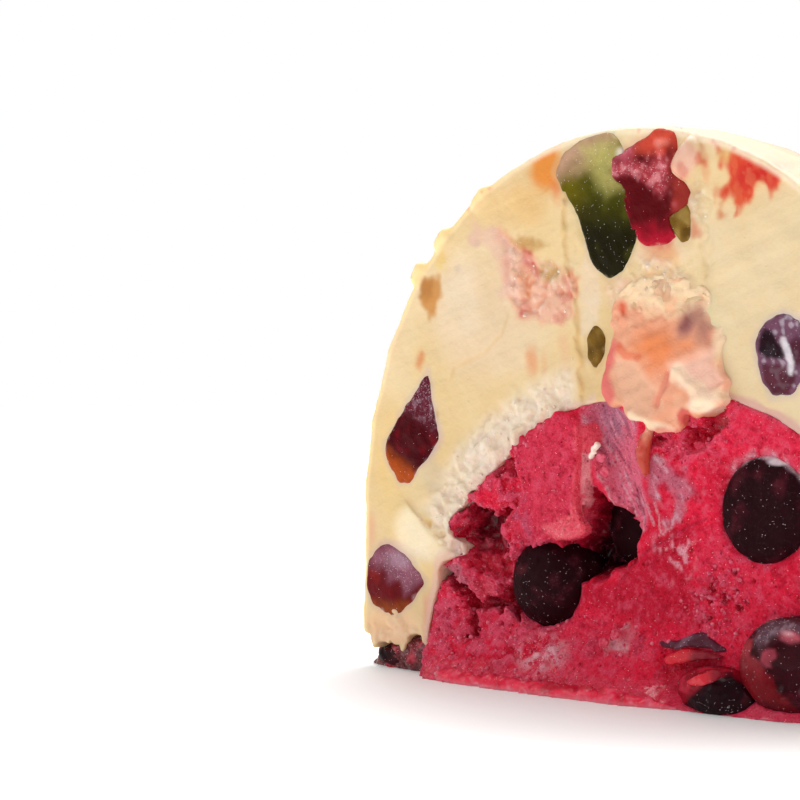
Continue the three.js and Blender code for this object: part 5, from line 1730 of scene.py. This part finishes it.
def make_fruit():
    made = []
    for index, (name, (finish, slot, painter)) in enumerate(fruit_kinds().items()):
        shape, (low, high) = FRUIT_FIELDS[name]
        block = Block(low, high, FRUIT_STEP)
        field = shape(block.x, block.y, block.z).astype(np.float32)
        field = field - 0.12 * Grain(1.4, 100 + index).on(block) - 0.06 * Grain(0.6, 130 + index).on(block)
        if name == "candied_peach":
            field = crumble_peach(block, field)
        if name == "cherry_5":
            field = open_cherry(block, field)
        if name in FRUIT_TINTS:
            painter = with_tint(painter, name, 220 + index)
        seeds = (160 + index, 190 + index)
        made.append(make_piece(name + "_flesh", finish, block, field, painter, seeds, [name]))
    return made


def crumble_peach(block, field):
    """The peach lump's crumbly top and its ragged lower edge."""
    z = block.z
    crumbly = ease(z, 66, 73) + 0.6 * fade(z, 51, 55)
    lumps = 0.7 * lumpy(Grain(1.5, 151).on(block)) + 0.7 * lumpy(Grain(0.7, 153).on(block))
    field = field - 0.5 * crumbly * lumps
    return field - 0.3 * fade(z, 53, 57) * Grain(1.6, 152).on(block)


def open_cherry(block, field):
    """A cherry cut open at its front: a thick skin at its lower left round a sunk middle."""
    x, y, z = block.x, block.y, block.z
    bowl = np.sqrt(((x - 43.8) / 8.0) ** 2 + ((y + 18.4) / 4.4) ** 2 + ((z - 9.6) / 6.6) ** 2)
    field = soft_max(field, (1 - bowl) * 4.4 - 0.5 * lumpy(Grain(2.2, 154).on(block)), 0.8)
    return soft_max(field, -17.6 - y, 0.8)


# ------------------------------------------------------------------ melted juice, torn skins and small lumps

MELT_PATH = [(-48.5, -10.0), (-44.5, -13.0), (-35.0, -15.2), (-15.0, -16.6), (2.0, -17.0), (16.5, -16.6)]
SKIN_ARC = [
    (7.4, 11.4), (9.7, 11.6), (11.5, 11.7), (13.8, 12.6), (16.1, 13.8), (17.8, 13.7), (19.6, 12.4),
    (21.8, 11.4), (23.5, 10.8), (22.4, 10.3), (19.0, 10.9), (14.7, 10.8), (10.9, 10.0), (8.6, 10.1)
]
SKIN_FLAPS = [
    [
        (10.3, 8.5), (11.1, 9.3), (14.0, 10.4), (16.8, 10.5), (21.1, 10.3), (23.4, 10.0), (22.5, 9.2),
        (19.1, 9.0), (15.7, 8.2), (12.8, 7.6), (11.1, 7.6)
    ],
    [
        (19.8, 5.5), (21.0, 6.5), (22.8, 7.2), (24.6, 8.0), (27.4, 8.6), (28.0, 7.4), (26.0, 6.2),
        (24.0, 5.2), (21.8, 5.0)
    ]
]
DRIP = [
    (5.1, 53.2), (3.9, 52.4), (4.3, 51.0), (2.7, 50.0), (2.1, 47.4), (2.3, 44.7), (3.4, 43.1), (3.9, 41.5),
    (5.4, 41.6), (5.8, 43.7), (5.8, 46.5), (6.1, 48.9), (6.6, 50.8), (6.3, 53.0)
]


def shaped(name, finish, slot, low, high, step, shape, painter, rough=0.15):
    """A piece made from its own field, roughened a little and painted."""
    block = Block(low, high, step)
    field = shape(block.x, block.y, block.z).astype(np.float32)
    seed = sum(name.encode())
    field = field - rough * Grain(1.0, seed).on(block) - 0.5 * rough * Grain(0.5, seed + 1).on(block)
    return make_piece(name, finish, block, field, painter, (seed + 2, seed + 3))


def melt_shape(x, y, z):
    """A low rounded bead of melted sorbet along the foot of the cut."""
    away = line(x, y, MELT_PATH)
    radius = 2.4 + 0.35 * waves(x, 0 * x, 23, 3) - 0.9 * ease(-x, 40, 48) - 1.5 * ease(x, 4, 17)
    return np.hypot(away, 1.05 * np.maximum(z, 0)) - radius


def paint_melt(x, y, z, fine, ragged):
    paint = Paint(len(x), "F62E50")
    paint.lay("B40A2A", ease(ragged + 0.5 * z, 0.4, 1.6) * 0.8)
    paint.lay("F0607A", ease(-ragged + 0.7 * fine, 0.3, 1.0) * 0.7)
    paint.lay("F28494", ease(-z, -1.2, -0.2) * 0.6)
    tip = fade(x + 0.6 * ragged, -44.5, -42.0)
    paint.lay("F0A8AC", tip * 0.85)
    return paint, 0.85 * tip + 0.1 * ease(fine, 0.5, 1.0), 0.2 * tip + 0.03


def paint_sauce(x, y, z, fine, ragged):
    paint = Paint(len(x), "640814")
    paint.lay("A81C32", ease(ragged, -0.2, 0.7) * 0.8)
    paint.lay("D04058", ease(ragged + 0.5 * fine + 0.2 * (x + 56), 0.8, 1.4) * 0.7)
    return paint, 0.05, 0.15


# soft red pulp that the left leg stands on: middle, half sizes
RED_PULP = [
    (-65.4, -2.6, 2.2, 2.8, 3.4, 3.4), (-60.6, -4.6, 2.6, 4.0, 3.4, 3.3), (-55.6, -5.6, 3.0, 3.6, 3.2, 4.2),
    (-52.0, -6.0, 3.6, 2.8, 2.8, 4.6)
]


def sauce_shape(x, y, z):
    """Red pulp and juice under the left leg."""
    away = line(x, y, [(-67.6, -3.4), (-62, -5.2), (-54.4, -6.4)])
    field = np.hypot(away, 1.3 * np.maximum(z, 0)) - 1.9
    for cx, cy, cz, rx, ry, rz in RED_PULP:
        ball = np.sqrt(((x - cx) / rx) ** 2 + ((y - cy) / ry) ** 2 + ((z - cz) / rz) ** 2)
        field = soft_min(field, (ball - 1) * min(rx, rz), 1.0)
    return field


def sheet_shape(points, lean, thick):
    """A torn scrap of skin at the foot of the sorbet: it follows the cut, or hangs straight in front."""

    def shape(x, y, z):
        middle = FRONT_Y - foot_reach(x, z) + lean if lean > -3 else FRONT_Y + lean
        return soft_max(outline(x, z, rounded(points, 1)) + 0 * y, np.abs(y - middle) - thick, 0.5)

    return shape


def paint_red_skin(x, y, z, fine, ragged):
    """Bright red at its torn left end, wine at its right."""
    paint = Paint(len(x), "E2303F")
    paint.lay("F46A70", ease(ragged + fine, 0.3, 1.2) * 0.5)
    paint.lay("84182A", ease(x + 0.6 * ragged, x.min() + 4.0, x.min() + 7.0) * 0.9)
    return paint, 0.05, 0.1


def drip_shape(x, y, z):
    middle = -9.9 + 0.06 * (z - 47)
    return soft_max(outline(x, z, rounded(DRIP, 1)) + 0.6 + 0 * y, np.abs(y - middle) - 1.3, 1.3)


def paint_drip(x, y, z, fine, ragged):
    paint = Paint(len(x), "C64A38")
    # painted highlight: lighter orange towards its right side
    paint.lay("E08468", ease(ragged + 0.3 * (x - 4.2), 0.0, 0.8) * 0.7)
    paint.lay("F0C4A0", ease(z + ragged, 48.5, 52.0) * 0.7)
    return paint, 0.2, 0.05


def make_juice_and_scraps():
    juice = juice_finish()
    skin_finish = fruit_finish("torn_cherry_skin", (1.0, 0.12, 0.15), 0.0008, 0.1, 0.3, 0.08, 0.3)
    drip_finish = fruit_finish("peach_drip", (1.0, 0.4, 0.25), 0.0018, 0.3, 0.2, 0.2, 0.1)
    melt_box = ((-52, -21, -0.6), (50, -7, 4.5), 0.32)
    sauce_box = ((-72, -11, -0.6), (-47, 2, 9.5), 0.3)
    drip_box = ((0, -13.5, 40), (9, -7, 55), 0.25)
    made = [
        shaped("melted_edge", juice, "sorbet", *melt_box, melt_shape, paint_melt, 0.4),
        shaped("red_sauce", juice, "sorbet", *sauce_box, sauce_shape, paint_sauce, 0.35),
        shaped("peach_drip", drip_finish, "peach_fruit", *drip_box, drip_shape, paint_drip)
    ]
    scraps = (
        # the dark arc is partly dark skin and partly painted shade where a band of shadow lies; its lighter
        # spots are painted glints
        (SKIN_ARC, 0.3, 0.6, speckled("5A2436", "8E6074", 0.0, 0.9, 0.8, 0.05, 0.3, 0.5)),
        (SKIN_FLAPS[0], -0.7, 0.7, paint_red_skin), (SKIN_FLAPS[1], -9.1, 0.55, paint_red_skin)
    )
    for number, (points, lean, thick, painter) in enumerate(scraps, 1):
        box, shape = span(points, -19.6, -7), sheet_shape(points, lean, thick)
        name = f"cherry_skin_{number}"
        made.append(shaped(name, skin_finish, "cherry", *box, 0.22, shape, painter, 0.12))
    return made


# ------------------------------------------------------------------ crumbs and ice crystals


def strewing_tree(layer, round_grains, finish):
    """Nodes that strew grains of random size and turn over a surface, as thickly as a layer of it says."""
    tree = bpy.data.node_groups.new("strewn_" + layer, "GeometryNodeTree")

    def socket(name, kind, way="INPUT", default=None):
        made = tree.interface.new_socket(name=name, in_out=way, socket_type="NodeSocket" + kind)
        if default is not None:
            made.default_value = default
        return made.identifier

    socket("Surface", "Geometry")
    keys = {
        "thickness": socket("Grains per square metre", "Float", default=1e6),
        "least": socket("Smallest radius", "Float", default=0.0001),
        "most": socket("Largest radius", "Float", default=0.0002),
        "seed": socket("Seed", "Int", default=1)
    }
    socket("Grains", "Geometry", "OUTPUT")
    n = Nodes(tree)
    given = n.add("NodeGroupInput").outputs
    seed = given["Seed"]
    share = n.add("GeometryNodeInputNamedAttribute", {"data_type": "FLOAT"}, Name=layer)
    density = n.math("MULTIPLY", share.outputs["Attribute"], given["Grains per square metre"])
    points = n.add("GeometryNodeDistributePointsOnFaces", Mesh=given["Surface"], Density=density, Seed=seed)
    if round_grains:
        grain = n.add("GeometryNodeMeshIcoSphere", Subdivisions=2, Radius=1.0)
    else:
        grain = n.add("GeometryNodeMeshUVSphere", Segments=4, Rings=2, Radius=1.0)
    size = n.add("FunctionNodeRandomValue", {"data_type": "FLOAT"}, Seed=seed)
    turn = n.add("FunctionNodeRandomValue", {"data_type": "FLOAT_VECTOR"}, Max=(2 * math.pi,) * 3)
    least, most = [s for s in size.inputs if s.type == "VALUE"][:2]
    n.set(least, given["Smallest radius"])
    n.set(most, given["Largest radius"])
    pair = {"Points": points.outputs["Points"], "Instance": grain.outputs["Mesh"]}
    placed = n.add("GeometryNodeInstanceOnPoints", **pair)
    n.set(placed.inputs["Rotation"], next(s for s in turn.outputs if s.enabled))
    n.set(placed.inputs["Scale"], next(s for s in size.outputs if s.enabled))
    whole = n.add("GeometryNodeRealizeInstances", Geometry=placed.outputs["Instances"]).outputs["Geometry"]
    if round_grains:
        whole = dented(n, whole)
    coloured = n.add("GeometryNodeSetMaterial", Material=finish, Geometry=whole)
    n.add("NodeGroupOutput", Grains=coloured.outputs["Geometry"])
    return tree, keys


def dented(n, geometry):
    """Moves each point a little, so that round grains become uneven crumbs."""
    noise = n.add("ShaderNodeTexNoise", Scale=1 / (0.5 * MM))
    centred = n.add("ShaderNodeVectorMath", {"operation": "SUBTRACT"})
    n.set(centred.inputs[0], noise.outputs["Color"])
    n.set(centred.inputs[1], (0.5, 0.5, 0.5))
    scaled = n.add("ShaderNodeVectorMath", {"operation": "SCALE"}, Scale=0.6 * MM)
    n.set(scaled.inputs[0], centred.outputs["Vector"])
    moved = n.add("GeometryNodeSetPosition", Geometry=geometry, Offset=scaled.outputs["Vector"])
    return moved.outputs["Geometry"]


def strew(name, layer, hosts, finish, thickness, least, most, seed, round_grains):
    """One piece with all the grains on several hosts. Sizes in mm, thickness in grains per square mm."""
    tree, key = strewing_tree(layer, round_grains, finish)
    points, faces, first = [], [], 0
    for number, host in enumerate(hosts):
        ground = bpy.data.objects.new(name + "_ground", host.data)
        bpy.context.scene.collection.objects.link(ground)
        grow = ground.modifiers.new("strew", "NODES")
        grow.node_group = tree
        grow[key["thickness"]] = thickness * 1e6
        grow[key["least"]], grow[key["most"]] = least * MM, most * MM
        grow[key["seed"]] = seed + number
        seen_mesh = ground.evaluated_get(bpy.context.evaluated_depsgraph_get())
        result = bpy.data.meshes.new_from_object(seen_mesh)
        bpy.data.objects.remove(ground)
        if len(result.polygons):
            result.calc_loop_triangles()
            corners = np.empty(len(result.loop_triangles) * 3, np.int32)
            result.loop_triangles.foreach_get("vertices", corners)
            points.append(np.array(places(result)).T)
            faces.append(corners.reshape(-1, 3) + first)
            first += len(result.vertices)
        bpy.data.meshes.remove(result)
    points = np.concatenate(points)
    points[:, 2] = np.maximum(points[:, 2], 0.02)
    mesh = plain_mesh(name, points, np.concatenate(faces))
    if not round_grains:
        mesh.shade_flat()
    return shown(name, mesh, finish)


# single crumbs that stand out: place, radius
CREAM_CRUMBS = [
    (-7.8, -9.6, 46.6, 0.8), (-7.2, -9.7, 47.6, 0.6), (-8.4, -9.5, 45.6, 0.55), (23.2, -9.8, 51.8, 0.65),
    (23.7, -9.9, 51.3, 0.5), (-7.1, -9.4, 57.9, 0.5), (-6.7, -9.4, 57.4, 0.35)
]
SORBET_CRUMBS = [
    (-6.4, -9.5, 45.2, 0.8), (-5.6, -9.3, 42.5, 0.9), (19.6, -9.8, 50.6, 0.7), (-0.6, -12.2, 12.2, 1.0),
    (2.0, -12.4, 11.3, 0.9), (-3.2, -12.6, 10.4, 0.9), (11.6, -13.4, 6.4, 0.6)
]


def single_crumbs(name, finish, crumbs):
    spots = np.array(crumbs)
    block = Block(spots.min(0)[:3] - 2.5, spots.max(0)[:3] + 2.5, 0.25)
    field = np.full([len(axis) for axis in block.axes], 1.0, np.float32)
    seed = sum(name.encode())
    for *middle, radius in crumbs:
        part, place = block.near(middle, 2)
        field[part] = np.minimum(field[part], ball(*place, middle, radius))
    field = field - 0.3 * Grain(0.6, seed).on(block)
    return shown(name, plain_mesh(name, *skin(block, field)), finish)


def make_crumbs(cream, sorbet, pieces):
    pale = crumb_finish("cream_crumb", "F2D2C0", "FCE8DC")
    red = crumb_finish("sorbet_crumb", "CC2446", "EC7890")
    single_crumbs("cream_scraps", pale, CREAM_CRUMBS)
    single_crumbs("sorbet_scraps", red, SORBET_CRUMBS)
    strew("cream_crumbs", "crumbs", [cream], pale, 0.5, 0.12, 0.34, 5, True)
    strew("sorbet_crumbs", "crumbs", [sorbet], red, 0.32, 0.16, 0.5, 9, True)
    hosts, ice = [cream, sorbet, *pieces], crystal_finish()
    # frost crystals, which also stand for small glints of light
    strew("ice_crystals", "sparkle", hosts, ice, 2.6, 0.03, 0.075, 20, False)


make_camera()
make_studio()
cream = make_cream()
paint_cream(cream)
cream.data.materials.append(cream_finish())
sorbet = make_sorbet()
paint_sorbet(sorbet)
sorbet.data.materials.append(sorbet_finish())
fruit = make_fruit()
scraps = make_juice_and_scraps()
make_crumbs(cream, sorbet, fruit + scraps)
